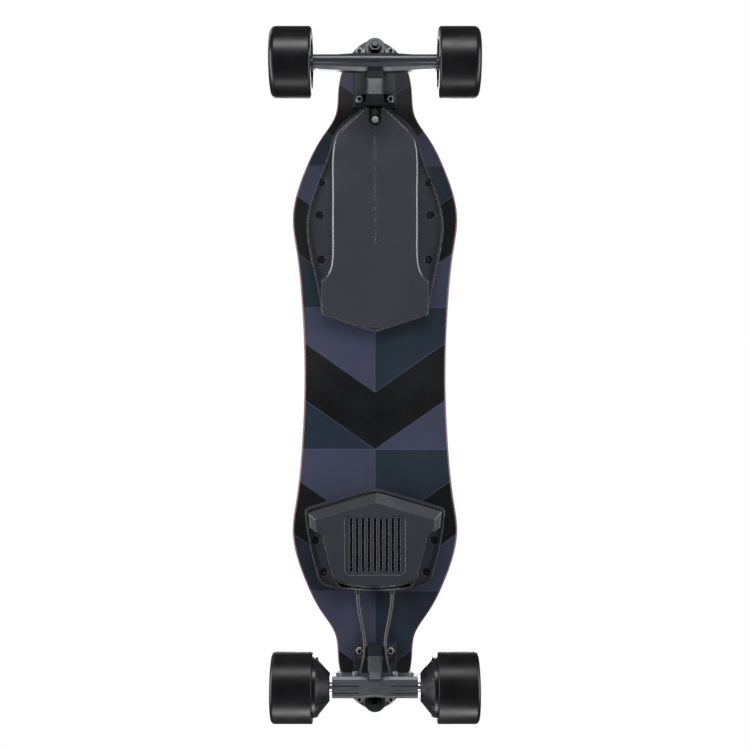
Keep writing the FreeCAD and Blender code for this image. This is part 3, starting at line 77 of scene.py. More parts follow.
def add(tree, kind, links=None, **settings):
    """One node with its settings, and its inputs linked to a socket or set to a value."""
    node = tree.nodes.new(kind)
    for name, value in settings.items():
        setattr(node, name, value)
    for key, value in (links or {}).items():
        if isinstance(value, bpy.types.NodeSocket):
            tree.links.new(value, node.inputs[key])
        else:
            node.inputs[key].default_value = value
    return node


def begin(name):
    """A new node material: its tree, its Principled shader and the object's coordinates."""
    material = bpy.data.materials.new(name)
    material.use_nodes = True
    tree = material.node_tree
    tree.nodes.clear()
    shader = add(tree, "ShaderNodeBsdfPrincipled")
    add(tree, "ShaderNodeOutputMaterial", {"Surface": shader.outputs["BSDF"]})
    place = add(tree, "ShaderNodeTexCoord").outputs["Object"]
    return material, tree, shader, place


def per_metre(size):
    """The texture scale that makes features of this size in millimetres."""
    return 1 / (size * MM)


def surface(name, colour, mottle, grain, relief, rough, metal=0.0, edge=0.3, edge_wear_and_highlight=None,
            coat=0.0, specular=0.5, rough_spread=0.08):
    """A finish with slow mottling, a fine grain in its relief and softly rounded edges.

    mottle is the second colour and the size of its clouds, grain is the grain's size and
    relief its height, edge is the radius seen on sharp edges, all in millimetres. The paler
    colour given for sharp edges stands partly for rubbing and partly for a painted highlight
    along ridges and rims, and rough_spread is how far the clouds move the roughness either way."""
    material, tree, shader, place = begin(name)
    clouds = add(tree, "ShaderNodeTexNoise", {
        "Vector": place, "Scale": per_metre(mottle[1]), "Detail": 3.0, "Roughness": 0.6})
    base = add(tree, "ShaderNodeMix", {0: clouds.outputs["Fac"], 6: rgba(colour),
                                       7: rgba(mottle[0])}, data_type="RGBA").outputs[2]
    fine = add(tree, "ShaderNodeTexNoise", {
        "Vector": place, "Scale": per_metre(grain), "Detail": 2.0, "Roughness": 0.65})
    rounded = add(tree, "ShaderNodeBevel", {"Radius": edge * MM}, samples=BEVEL_SAMPLES)
    # paler sharp edges: partly rubbed edges, partly a painted highlight along ridges and rims
    if edge_wear_and_highlight:
        facing = add(tree, "ShaderNodeNewGeometry").outputs["Normal"]
        turn = add(tree, "ShaderNodeVectorMath", {0: rounded.outputs["Normal"], 1: facing},
                   operation="DOT_PRODUCT")
        patchy = add(tree, "ShaderNodeMath", {0: clouds.outputs["Fac"], 1: WEAR_AND_HIGHLIGHT_PATCHINESS,
                                              2: turn.outputs["Value"]},
                     operation="MULTIPLY_ADD")
        worn_and_highlit_edges = add(tree, "ShaderNodeMapRange", {
            0: patchy.outputs[0], 1: 1.0, 2: 0.9, 3: 0.0, 4: WEAR_AND_HIGHLIGHT_SHARE})
        base = add(tree, "ShaderNodeMix", {0: worn_and_highlit_edges.outputs[0], 6: base, 7: rgba(edge_wear_and_highlight)},
                   data_type="RGBA").outputs[2]
    tree.links.new(base, shader.inputs["Base Color"])
    haze = add(tree, "ShaderNodeMapRange", {0: clouds.outputs["Fac"], 1: 0.2, 2: 0.8,
                                            3: rough - rough_spread, 4: rough + rough_spread},
               interpolation_type="SMOOTHSTEP")
    tree.links.new(haze.outputs[0], shader.inputs["Roughness"])
    bump = add(tree, "ShaderNodeBump", {"Height": fine.outputs["Fac"], "Distance": relief * MM,
                                        "Strength": 1.0, "Normal": rounded.outputs["Normal"]})
    tree.links.new(bump.outputs["Normal"], shader.inputs["Normal"])
    shader.inputs["Metallic"].default_value = metal
    shader.inputs["Specular IOR Level"].default_value = specular
    shader.inputs["Coat Weight"].default_value = coat
    shader.inputs["Coat Roughness"].default_value = COAT_ROUGHNESS
    return material


def give_finish(material, *names):
    """Puts a finish on the shown CAD nodes with these names."""
    for name in names:
        for slot in NODES[name].material_slots:
            slot.material = material


# ---------------------------------------------------------------- settings

def tint(label, text, code):
    """A colour property that holds this sRGB hex code by default."""
    return bpy.props.FloatVectorProperty(name=label, description=text, subtype="COLOR", size=4,
                                         min=0.0, max=1.0, default=linear(code))


def span(label, text, millimetres):
    """A length property in metres."""
    return bpy.props.FloatProperty(name=label, description=text, subtype="DISTANCE",
                                   unit="LENGTH", default=millimetres * MM)


class DeckSettings(bpy.types.PropertyGroup):
    """Sizes and colours of the painted deck and its grip tape."""
    repeat: span("Chevron repeat", "Distance from one chevron to the next", 188.2)
    first: span("First chevron", "Where the first flat line lies along the deck", -277.6)
    band: span("Black band", "Width of each black chevron along the deck", 75.9)
    line: span("Line width", "Width of the fine lines between the colours", 0.7)
    slope: bpy.props.FloatProperty(name="Chevron slope", default=0.70,
                                   description="How far a chevron runs back per width")
    slate: tint("Slate", "The lighter painted colour", "#272a39")
    teal: tint("Teal", "The darker painted colour", "#131b24")
    black: tint("Black", "The chevrons' colour", "#050608")
    lines: tint("Lines", "The fine lines' colour", "#33384a")
    ply: tint("Ply", "The maple plies on the deck's edge", "#6d4f38")
    red_ply: tint("Dyed ply", "The dyed plies on the deck's edge", "#94474a")
    grip: tint("Grip tape", "The grip tape's grit", "#33373d")
    grit: span("Grit", "Size of the grit as drawn", 1.1)


class CaseSettings(bpy.types.PropertyGroup):
    """Colours of the battery and controller cases."""
    shell: tint("Shell", "The moulded cases", "#222328")
    grain: span("Grain", "Size of the moulded texture", 0.7)


class TruckSettings(bpy.types.PropertyGroup):
    """Colours of the trucks."""
    front: tint("Front hanger", "The cast front hanger", "#212227")
    rear: tint("Rear hanger", "The milled rear hanger", "#4a4d52")
    base: tint("Baseplates", "The cast baseplates", "#0d0f14")


class WheelSettings(bpy.types.PropertyGroup):
    """Colours of the wheels and motors."""
    tyre: tint("Tyres", "The poured polyurethane", "#040405")
    core: tint("Cores", "The front wheels' nylon cores", "#e4e4e0")
    motor: tint("Motors", "The anodised cans and covers", "#121216")


class LeadSettings(bpy.types.PropertyGroup):
    """Sizes and colour of the motor leads."""
    diameter: span("Diameter", "Outer diameter of a motor lead", 5.0)
    jacket: tint("Jacket", "The leads' rubber jacket", "#0b0b0d")


class StudioSettings(bpy.types.PropertyGroup):
    """Camera, floor and lights."""
    lens: bpy.props.FloatProperty(name="Lens", description="Focal length in millimetres",
                                  default=52.1)
    distance: span("Distance", "From the camera to the axles", 1375.0)
    ambient: bpy.props.FloatProperty(name="Ambient", default=0.11,
                                     description="Strength of the light from all round")
    floor: tint("Floor", "The pale floor", "#ececea")
    sky: tint("Surround", "The pale surround", "#ffffff")


SETTINGS = {"board_deck": DeckSettings, "board_cases": CaseSettings,
            "board_trucks": TruckSettings, "board_wheels": WheelSettings,
            "board_leads": LeadSettings, "board_studio": StudioSettings}


# ---------------------------------------------------------------- deck

# the lacquer: the dust's clouds and share, the orange peel's size and height, and the
# roughness where it is clean and where it is dusty; lengths in millimetres
DUST_SIZE = 90
DUST_SHARE = 0.012
PEEL_SIZE = 2.5
PEEL_HEIGHT = 0.05
PEEL_STRENGTH = 0.6
LACQUER_ROUGHNESS = (0.30, 0.42)
LACQUER_SPECULAR = 0.28
# the paint ends where the rounded edge's normal has turned up from straight down (-1) to here
PAINT_ENDS = (-0.82, -0.72)
# wood fibres on the bare edge, drawn out along the plies
FIBRE_STRETCH = (40.0, 12.0, 700.0)
FIBRE_SCALE = 6.0
# how far from a whole number a wedge's count may be
COUNT_GAP = 0.01


def chevron_paint(tree, split, deck):
    """The chevrons: slate and teal wedges either side of the middle line, black bands that
    run back from it, and a fine line where two colours meet."""
    across = add(tree, "ShaderNodeMath", {0: split.outputs["X"]}, operation="ABSOLUTE")
    back = add(tree, "ShaderNodeMath", {0: split.outputs["Y"], 1: deck.first},
               operation="SUBTRACT")
    slanted = add(tree, "ShaderNodeMath", {0: across.outputs[0], 1: deck.slope,
                                           2: back.outputs[0]}, operation="MULTIPLY_ADD")
    rows = [add(tree, "ShaderNodeMath", {0: node.outputs[0], 1: deck.repeat},
                operation="DIVIDE") for node in (back, slanted)]
    counts = [add(tree, "ShaderNodeMath", {0: row.outputs[0]}, operation="FLOOR")
              for row in rows]
    shares = [add(tree, "ShaderNodeMath", {0: row.outputs[0]}, operation="FRACT")
              for row in rows]
    wedge = add(tree, "ShaderNodeMath", {0: counts[1].outputs[0], 1: counts[0].outputs[0]},
                operation="SUBTRACT")
    right = add(tree, "ShaderNodeMath", {0: split.outputs["X"], 1: 0.0},
                operation="GREATER_THAN")
    slate_side = add(tree, "ShaderNodeMath", {0: wedge.outputs[0], 1: right.outputs[0],
                                              2: COUNT_GAP}, operation="COMPARE")
    band_start = 1 - deck.band / deck.repeat
    black = add(tree, "ShaderNodeMath", {0: shares[1].outputs[0], 1: band_start},
                operation="GREATER_THAN")
    line = deck.line / deck.repeat / 2
    paint = add(tree, "ShaderNodeMix", {0: slate_side.outputs[0], 6: rgba(deck.teal),
                                        7: rgba(deck.slate)}, data_type="RGBA").outputs[2]
    flat_lines = [
        add(tree, "ShaderNodeMath", {0: shares[0].outputs[0], 1: 0.0, 2: line},
            operation="COMPARE"),
        add(tree, "ShaderNodeMath", {0: shares[0].outputs[0], 1: 1.0, 2: line},
            operation="COMPARE"),
        add(tree, "ShaderNodeMath", {0: split.outputs["X"], 1: 0.0, 2: deck.line / 2},
            operation="COMPARE")]
    for mark in flat_lines:
        paint = add(tree, "ShaderNodeMix", {0: mark.outputs[0], 6: paint,
                                            7: rgba(deck.lines)}, data_type="RGBA").outputs[2]
    paint = add(tree, "ShaderNodeMix", {0: black.outputs[0], 6: paint,
                                        7: rgba(deck.black)}, data_type="RGBA").outputs[2]
    for at in (0.0, band_start, 1.0):
        mark = add(tree, "ShaderNodeMath", {0: shares[1].outputs[0], 1: at, 2: line},
                   operation="COMPARE")
        paint = add(tree, "ShaderNodeMix", {0: mark.outputs[0], 6: paint,
                                            7: rgba(deck.lines)}, data_type="RGBA").outputs[2]
    return paint


def ply_stripes(tree, place, split, deck):
    """The bare edge: seven even layers from the bottom up, three of them dyed red."""
    low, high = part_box("deck")
    height = add(tree, "ShaderNodeMapRange", {0: split.outputs["Z"], 1: low.z, 2: high.z,
                                              3: 0.0, 4: 1.0})
    stretch = add(tree, "ShaderNodeMapping", {"Vector": place, "Scale": FIBRE_STRETCH})
    fibres = add(tree, "ShaderNodeTexNoise", {"Vector": stretch.outputs[0],
                                              "Scale": FIBRE_SCALE, "Detail": 3.0})
    layers = add(tree, "ShaderNodeValToRGB", {0: height.outputs[0]})
    ramp = layers.color_ramp
    ramp.interpolation = "CONSTANT"
    stripes = [deck.red_ply, deck.red_ply, deck.ply, deck.red_ply, deck.ply, deck.ply,
               deck.black]
    for index, colour in enumerate(stripes):
        stop = ramp.elements[0] if index == 0 else ramp.elements.new(index / len(stripes))
        stop.color = rgba(colour)
    ramp.elements.remove(ramp.elements[-1])
    return add(tree, "ShaderNodeMix", {0: fibres.outputs["Fac"], 6: layers.outputs[0],
                                       7: rgba("#2a1f18")}, data_type="RGBA").outputs[2]


def painted_deck(deck):
    """Seven-ply maple, spray painted below and lacquered, sanded bare round the edge: flat
    colour with crisp masked lines, a soft sheen with a trace of dust, a faint orange peel,
    and the plies' stripes on the edge."""
    material, tree, shader, place = begin("lacquered_maple_ply")
    split = add(tree, "ShaderNodeSeparateXYZ", {0: place})
    paint = chevron_paint(tree, split, deck)
    dust = add(tree, "ShaderNodeTexNoise", {"Vector": place, "Scale": per_metre(DUST_SIZE),
                                            "Detail": 5.0, "Roughness": 0.65})
    hazed = add(tree, "ShaderNodeMapRange", {0: dust.outputs["Fac"], 1: 0.35, 2: 0.75,
                                             3: 0.0, 4: DUST_SHARE})
    paint = add(tree, "ShaderNodeMix", {0: hazed.outputs[0], 6: paint, 7: rgba("#6d727c")},
                data_type="RGBA").outputs[2]
    bare = ply_stripes(tree, place, split, deck)
    facing = add(tree, "ShaderNodeNewGeometry").outputs["Normal"]
    upright = add(tree, "ShaderNodeSeparateXYZ", {0: facing})
    edge = add(tree, "ShaderNodeMapRange", {
        0: upright.outputs["Z"], 1: PAINT_ENDS[0], 2: PAINT_ENDS[1], 3: 0.0, 4: 1.0})
    colour = add(tree, "ShaderNodeMix", {0: edge.outputs[0], 6: paint, 7: bare},
                 data_type="RGBA").outputs[2]
    tree.links.new(colour, shader.inputs["Base Color"])
    sheen = add(tree, "ShaderNodeMapRange", {
        0: dust.outputs["Fac"], 1: 0.3, 2: 0.7, 3: LACQUER_ROUGHNESS[0],
        4: LACQUER_ROUGHNESS[1]})
    tree.links.new(sheen.outputs[0], shader.inputs["Roughness"])
    shader.inputs["Specular IOR Level"].default_value = LACQUER_SPECULAR
    peel = add(tree, "ShaderNodeTexNoise", {"Vector": place, "Scale": per_metre(PEEL_SIZE),
                                            "Detail": 2.0})
    bump = add(tree, "ShaderNodeBump", {
        "Height": peel.outputs["Fac"], "Distance": PEEL_HEIGHT * MM,
        "Strength": PEEL_STRENGTH})
    tree.links.new(bump.outputs["Normal"], shader.inputs["Normal"])
    return material


# the grip tape: the specks' fineness against the grit, the worn clouds' size and share, how
# few grains flash and how large a flash is in its grain, and the grit's height
SPECK_FINENESS = 2.2
WORN_SIZE = 120
WORN_SHARE = 0.22
FLASH_LIMIT = 0.94
FLASH_REACH = 0.28
GRIT_HEIGHT = 0.35


def grip_tape(deck):
    """Silicon carbide grit bonded to a cloth backing: a dry matt slate with painted glints, pale
    flecks where single grains catch the light. The 0.2 mm grains are drawn larger so they show."""
    material, tree, shader, place = begin("silicon_carbide_grip_tape")
    grains = add(tree, "ShaderNodeTexVoronoi", {"Vector": place,
                                                "Scale": per_metre(deck.grit / MM)})
    specks = add(tree, "ShaderNodeTexNoise", {"Vector": place,
                                              "Scale": per_metre(
                                                  deck.grit / MM * SPECK_FINENESS),
                                              "Detail": 4.0, "Roughness": 0.8})
    wander = add(tree, "ShaderNodeTexNoise", {"Vector": place, "Scale": per_metre(WORN_SIZE),
                                              "Detail": 3.0})
    shade = add(tree, "ShaderNodeMapRange", {0: specks.outputs["Fac"], 1: 0.36, 2: 0.66,
                                             3: 0.0, 4: 1.0})
    dark = [v * 0.55 for v in deck.grip[:3]] + [1.0]
    pale = [min(1.0, v * 2.1) for v in deck.grip[:3]] + [1.0]
    colour = add(tree, "ShaderNodeMix", {0: shade.outputs[0], 6: dark, 7: pale},
                 data_type="RGBA").outputs[2]
    worn = add(tree, "ShaderNodeMapRange", {0: wander.outputs["Fac"], 1: 0.35, 2: 0.7,
                                            3: 0.0, 4: WORN_SHARE})
    colour = add(tree, "ShaderNodeMix", {0: worn.outputs[0], 6: colour,
                                         7: rgba("#5f646b")}, data_type="RGBA").outputs[2]
    # painted glints: a few grains, near their centres, are painted pale as if they caught the
    # light
    tone = add(tree, "ShaderNodeSeparateColor", {0: grains.outputs["Color"]})
    glinting_grains = add(tree, "ShaderNodeMath", {0: tone.outputs[0], 1: FLASH_LIMIT},
                operation="GREATER_THAN")
    near = add(tree, "ShaderNodeMath", {0: grains.outputs["Distance"], 1: FLASH_REACH},
               operation="LESS_THAN")
    painted_glint = add(tree, "ShaderNodeMath", {0: glinting_grains.outputs[0], 1: near.outputs[0]},
                operation="MULTIPLY")
    colour = add(tree, "ShaderNodeMix", {0: painted_glint.outputs[0], 6: colour,
                                         7: rgba("#a9aeb4")}, data_type="RGBA").outputs[2]
    tree.links.new(colour, shader.inputs["Base Color"])
    shader.inputs["Roughness"].default_value = 0.88
    bump = add(tree, "ShaderNodeBump", {"Height": grains.outputs["Distance"],
                                        "Distance": GRIT_HEIGHT * MM, "Strength": 0.8})
    tree.links.new(bump.outputs["Normal"], shader.inputs["Normal"])
    return material


class BOARD_OT_deck(bpy.types.Operator):
    """Paint the deck and lay the grip tape's finish"""
    bl_idname = "board.deck"
    bl_label = "Deck and Grip Tape"

    def execute(self, context):
        deck = context.scene.board_deck
        give_finish(painted_deck(deck), "deck")
        give_finish(grip_tape(deck), "grip_tape")
        return {"FINISHED"}


# ---------------------------------------------------------------- cases

class BOARD_OT_cases(bpy.types.Operator):
    """Finish the battery and controller cases, their seals, port and button"""
    bl_idname = "board.cases"
    bl_label = "Battery and Controller Cases"

    def execute(self, context):
        cases = context.scene.board_cases
        # ABS moulded against an etched tool: charcoal with a fine even texture that
        # spreads highlights, and paler edges: partly rubbed, partly a painted highlight on the
        # ridges
        shell = surface("textured_moulded_abs", cases.shell, mottle=("#24252a", 60),
                        grain=cases.grain / MM, relief=0.02, rough=0.27, edge=0.8,
                        edge_wear_and_highlight="#4a4c54", specular=0.6, rough_spread=0.04)
        give_finish(shell, "battery_case", "controller_case")
        # moulded silicone rubber: dark, dull, with a faint bloom
        rubber = surface("moulded_silicone_rubber", "#0e0e10", mottle=("#18181b", 25), grain=0.5,
                         relief=0.03, rough=0.62, edge=0.3)
        give_finish(rubber, "battery_gasket", "controller_gasket", "charge_port_cap",
                    "case_grommets", "link_cable")
        # moulded nylon: black with a soft gloss
        nylon = surface("moulded_black_nylon", "#101013", mottle=("#1a1a1e", 12), grain=0.4,
                        relief=0.02, rough=0.38, edge=0.2)
        give_finish(nylon, "charge_port")
        # turned stainless steel: bright, with fine rings from the lathe
        button = surface("turned_stainless_steel", "#d9dbdd", mottle=("#c0c3c7", 3), grain=0.15,
                         relief=0.004, rough=0.24, metal=0.6, edge=0.25)
        give_finish(button, "power_button")
        return {"FINISHED"}


class BOARD_OT_inner(bpy.types.Operator):
    """Finish the cells, circuit boards, inserts and heat sink inside the cases"""
    bl_idname = "board.inner"
    bl_label = "Inner Parts"

    def execute(self, context):
        # PVC shrink wrap on steel cells: smooth, glossy and slightly wrinkled
        wrap = surface("pvc_shrink_wrap", "#1c4a72", mottle=("#235a88", 15), grain=4.0,
                       relief=0.08, rough=0.22, edge=0.5, coat=0.3)
        give_finish(wrap, "battery_cells")
        # glass-epoxy laminate under solder mask: deep green with a satin gloss
        board = surface("solder_masked_glass_epoxy", "#0e3b22", mottle=("#14492b", 6), grain=0.8,
                        relief=0.02, rough=0.35, edge=0.1)
        give_finish(board, "battery_board", "controller_board")
        # free-cutting brass, turned: warm and bright
        brass = surface("turned_brass", "#c39a52", mottle=("#b08a48", 2), grain=0.2, relief=0.01,
                        rough=0.28, metal=1.0, edge=0.15)
        give_finish(brass, "case_inserts")
        # milled aluminium, black anodised: dark and even behind the slots, partly its own finish
        # and partly painted shade inside the vent slots
        sink_and_slot_shade = surface("dark_heat_sink_and_slot_shade", "#0b0b0d", mottle=("#131316", 8), grain=0.3,
                       relief=0.02, rough=0.45, metal=0.4, edge=0.2)
        give_finish(sink_and_slot_shade, "heat_sink")
        # enamelled copper wire: dark orange-brown with a wet gloss along each turn
        copper = surface("enamelled_copper_wire", "#8a4420", mottle=("#a3562b", 3), grain=0.7,
                         relief=0.12, rough=0.25, metal=1.0, edge=0.3)
        give_finish(copper, "motor_windings")
        # stacked electrical steel sheets: grey, with faint edges of the sheets
        iron = surface("stacked_electrical_steel", "#6b6d70", mottle=("#5c5e61", 4), grain=0.5,
                       relief=0.04, rough=0.45, metal=1.0, edge=0.1)
        give_finish(iron, "motor_stators")
        # nickel-plated magnets: bright, slightly yellow mirrors
        nickel = surface("nickel_plated_magnet", "#b9b4a8", mottle=("#a9a498", 5), grain=0.4,
                         relief=0.01, rough=0.2, metal=1.0, edge=0.2)
        give_finish(nickel, "rear_left_magnets", "rear_right_magnets")
        return {"FINISHED"}


# ---------------------------------------------------------------- trucks

class BOARD_OT_trucks(bpy.types.Operator):
    """Finish the hangers, baseplates, bushings and pads of both trucks"""
    bl_idname = "board.trucks"
    bl_label = "Trucks"

    def execute(self, context):
        trucks = context.scene.board_trucks
        # cast aluminium under satin powder coat: smooth grey with a soft long highlight
        front = surface("satin_coated_cast_aluminium", trucks.front, mottle=("#34353d", 30),
                        grain=0.9, relief=0.02, rough=0.34, metal=0.35, edge=0.8, edge_wear_and_highlight="#5a5b62")
        give_finish(front, "front_hanger")
        # milled aluminium, dark anodised: fine even grain and bright machined edges
        rear = surface("dark_anodised_milled_aluminium", trucks.rear, mottle=("#595c61", 18),
                       grain=0.4, relief=0.01, rough=0.38, metal=0.55, edge=0.5, edge_wear_and_highlight="#74777c")
        give_finish(rear, "rear_hanger")
        # cast aluminium under black powder coat: faint orange peel, rubbed at its edges
        coat = surface("black_powder_coated_aluminium", trucks.base, mottle=("#14161c", 20),
                       grain=1.2, relief=0.04, rough=0.4, edge=0.7, edge_wear_and_highlight="#3a3c41")
        give_finish(coat, "front_baseplate", "rear_baseplate")
        # cast polyurethane: black and slightly waxy
        urethane = surface("cast_polyurethane", "#0c0c0e", mottle=("#151518", 14), grain=0.8,
                           relief=0.02, rough=0.35, edge=0.6)
        give_finish(urethane, "board_side_bushings", "road_side_bushings", "pivot_cups")
        # moulded rubber pad: matt black
        pad = surface("moulded_rubber_pad", "#0d0d0e", mottle=("#161617", 20), grain=0.7,
                      relief=0.05, rough=0.7, edge=0.4)
        give_finish(pad, "riser_pads", "hanger_grommets")
        return {"FINISHED"}


class BOARD_OT_fasteners(bpy.types.Operator):
    """Finish the bolts, nuts, screws, axles and bearings"""
    bl_idname = "board.fasteners"
    bl_label = "Fasteners"

    def execute(self, context):
        # zinc-plated steel: pale grey with cloudy bright patches
        zinc = surface("zinc_plated_steel", "#c2c6cb", mottle=("#a6aab0", 3), grain=0.3,
                       relief=0.008, rough=0.28, metal=0.7, edge=0.3)
        give_finish(zinc, "truck_nuts", "rear_clamp_screws", "front_axle", "front_axle_nuts",
                    "front_speed_washers", "front_bearing_spacers", "motor_shafts")
        # black-oxide steel: blue-black with a faint metallic glint
        oxide = surface("black_oxide_steel", "#1a1b1e", mottle=("#26272a", 4), grain=0.3,
                        relief=0.01, rough=0.33, metal=0.8, edge=0.3)
        give_finish(oxide, "kingpins", "kingpin_nuts", "bushing_washers", "truck_bolts")
        # stainless button heads, tinted black: dark domes with a painted highlight, a bright rim
        # in the pale edge colour
        tinted = surface("black_tinted_stainless_steel", "#232427", mottle=("#2f3034", 3),
                         grain=0.3, relief=0.008, rough=0.26, metal=0.75, edge=0.5,
                         edge_wear_and_highlight="#8c8f95")
        give_finish(tinted, "case_screws", "rear_left_cover_screws",
                    "rear_right_cover_screws")
        # pressed steel shield on a ground ring: bright with fine turning marks
        shield = surface("ground_bearing_steel", "#9da1a6", mottle=("#83878c", 4), grain=0.2,
                         relief=0.006, rough=0.3, metal=1.0, edge=0.2)
        give_finish(shield, "front_left_bearings", "front_right_bearings",
                    "rear_left_bearings", "rear_right_bearings")
        return {"FINISHED"}


# ---------------------------------------------------------------- wheels

class BOARD_OT_wheels(bpy.types.Operator):
    """Finish the tyres, wheel cores, motor cans and covers"""
    bl_idname = "board.wheels"
    bl_label = "Wheels and Motors"

    def execute(self, context):
        wheels = context.scene.board_wheels
        # poured polyurethane, turned on a lathe: gloss black with soft rolling marks
        tyre = surface("poured_polyurethane", wheels.tyre, mottle=("#0a0a0c", 35), grain=1.5,
                       relief=0.02, rough=0.36, edge=0.8, specular=0.2, rough_spread=0.06)
        give_finish(tyre, "front_left_tyre", "front_right_tyre", "rear_left_tyre",
                    "rear_right_tyre")
        # glass-filled nylon, moulded: white with a dull sheen
        core = surface("moulded_white_nylon", wheels.core, mottle=("#d2d2ce", 10), grain=0.5,
                       relief=0.02, rough=0.42, edge=0.4)
        give_finish(core, "front_left_wheel_core", "front_right_wheel_core")
        # turned aluminium, black anodised: dark satin metal
        motor = surface("black_anodised_aluminium", wheels.motor, mottle=("#1b1b20", 14),
                        grain=0.4, relief=0.01, rough=0.32, metal=0.5, edge=0.5, edge_wear_and_highlight="#3a3a40")
        give_finish(motor, "rear_left_motor_can", "rear_right_motor_can",
                    "rear_left_motor_cover", "rear_right_motor_cover")
        return {"FINISHED"}


# ---------------------------------------------------------------- motor leads

# the right lead's route in millimetres, from the controller case's grommet into the hanger's
# grommet
LEAD_ROUTE = [(23.0, 285.0, 100.5), (22.4, 299.0, 99.5), (20.0, 315.0, 98.0),
              (16.6, 331.0, 95.5), (13.6, 346.0, 91.0), (13.0, 360.0, 85.0),
              (15.5, 372.5, 76.5), (18.6, 382.0, 66.5), (20.0, 387.5, 60.0),
              (20.0, 388.2, 55.0)]
LEAD_SIDES = 20
LEAD_STEPS = 8


def spline_points(name, route):
    """Points along the smooth line that a NURBS spline makes through its route."""
    curve = bpy.data.curves.new(name, "CURVE")
    curve.dimensions = "3D"
    curve.resolution_u = LEAD_STEPS
    spline = curve.splines.new("NURBS")
    spline.points.add(len(route) - 1)
    for point, at in zip(spline.points, route):
        point.co = (*at, 1.0)
    spline.order_u = 3
    spline.use_endpoint_u = True
    holder = bpy.data.objects.new(name, curve)
    bpy.context.scene.collection.objects.link(holder)
    bpy.context.view_layer.update()
    line = bpy.data.meshes.new_from_object(holder)
    points = [vertex.co.copy() for vertex in line.vertices]
    bpy.data.objects.remove(holder)
    bpy.data.meshes.remove(line)
    bpy.data.curves.remove(curve)
    return points


def tube(name, points, radius):
    """A closed round tube along these points, with its rings kept from twisting."""
    mesh = bmesh.new()
    side = Vector((1, 0, 0))
    rings = []
    for index, at in enumerate(points):
        ahead = points[min(index + 1, len(points) - 1)] - points[max(index - 1, 0)]
        ahead.normalize()
        side = (side - ahead * side.dot(ahead)).normalized()
        up = ahead.cross(side)
        rings.append([mesh.verts.new(at + radius * (
            side * math.cos(turn) + up * math.sin(turn)))
            for turn in (2 * math.pi * step / LEAD_SIDES for step in range(LEAD_SIDES))])
    for first, second in zip(rings, rings[1:]):
        for step in range(LEAD_SIDES):
            after = (step + 1) % LEAD_SIDES
            mesh.faces.new((first[step], first[after], second[after], second[step]))
    mesh.faces.new(rings[0][::-1])
    mesh.faces.new(rings[-1])
    bmesh.ops.recalc_face_normals(mesh, faces=mesh.faces)
    for face in mesh.faces:
        face.smooth = len(face.verts) == 4
    data = bpy.data.meshes.new(name)
    mesh.to_mesh(data)
    mesh.free()
    made = bpy.data.objects.new(name, data)
    bpy.context.scene.collection.objects.link(made)
    return made


class BOARD_OT_leads(bpy.types.Operator):
    """Run the two motor leads from the controller case into the rear hanger"""
    bl_idname = "board.leads"
    bl_label = "Motor Leads"

    def execute(self, context):
        leads = context.scene.board_leads
        # extruded silicone jacket: soft black, dull, with a little dust
        jacket = surface("extruded_silicone_jacket", leads.jacket, mottle=("#161618", 18),
                         grain=0.8, relief=0.03, rough=0.5, edge=0.2)
        for side, name in ((-1, "left"), (1, "right")):
            route = [(side * x * MM, y * MM, z * MM) for x, y, z in LEAD_ROUTE]
            points = spline_points(f"{name}_lead_line", route)
            lead = tube(f"{name}_lead_tube", points, leads.diameter / 2)
            lead.data.materials.append(jacket)
            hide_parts(f"{name}_motor_lead")
            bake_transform(lead)
        return {"FINISHED"}


# ---------------------------------------------------------------- studio

def pale_floor(studio):
    """Painted studio board: pale, matt and even. Seen from below it lets the view through."""
    material, tree, shader, place = begin("painted_studio_board")
    shade = add(tree, "ShaderNodeTexNoise", {"Vector": place, "Scale": per_metre(600),
                                             "Detail": 2.0})
    tone = add(tree, "ShaderNodeMix", {0: shade.outputs["Fac"], 6: rgba(studio.floor),
                                       7: rgba("#e6e6e4")}, data_type="RGBA")
    tree.links.new(tone.outputs[2], shader.inputs["Base Color"])
    shader.inputs["Roughness"].default_value = 0.75
    below = add(tree, "ShaderNodeNewGeometry").outputs["Backfacing"]
    clear = add(tree, "ShaderNodeBsdfTransparent")
    seen = add(tree, "ShaderNodeMixShader", {0: below, 1: shader.outputs["BSDF"],
                                             2: clear.outputs["BSDF"]})
    output = next(node for node in tree.nodes if node.type == "OUTPUT_MATERIAL")
    tree.links.new(seen.outputs[0], output.inputs["Surface"])
    return material


# each panel light: its name, place, the point it faces, width and height in metres, and
# power in watts. The two side panels run along the board and draw its ridges.
PANEL_LIGHTS = [
    ("under_key", (0.0, -1.3, -0.85), (0, -0.25, 0.1), 1.0, 0.5, 24),
    ("under_left", (-0.95, 0.0, -0.22), (0, 0.0, 0.1), 1.5, 0.36, 30),
    ("under_right", (0.95, 0.0, -0.22), (0, 0.0, 0.1), 1.5, 0.36, 24),
    ("under_tail", (0.0, 1.25, -0.3), (0, 0.1, 0.1), 0.9, 0.3, 12),
    ("over_side", (-1.5, -1.7, 1.4), (0, 0, 0.1), 1.2, 1.2, 10),
]
SKYLIGHT_STRENGTH = 3.2
SKYLIGHT_ANGLE = 35
FLOOR_SIZE = 60
SENSOR_WIDTH = 36.0
VIEW_LIMIT = 100


def lay_floor(scene, studio):
    """A wide floor under the wheels, which lets the lights below it through."""
    mesh = bmesh.new()
    bmesh.ops.create_grid(mesh, x_segments=2, y_segments=2, size=FLOOR_SIZE / 2)
    data = bpy.data.meshes.new("studio_floor")
    mesh.to_mesh(data)
    mesh.free()
    floor = bpy.data.objects.new("studio_floor", data)
    scene.collection.objects.link(floor)
    floor.data.materials.append(pale_floor(studio))
    floor.visible_shadow = False
    floor.visible_glossy = False
    floor.visible_diffuse = False


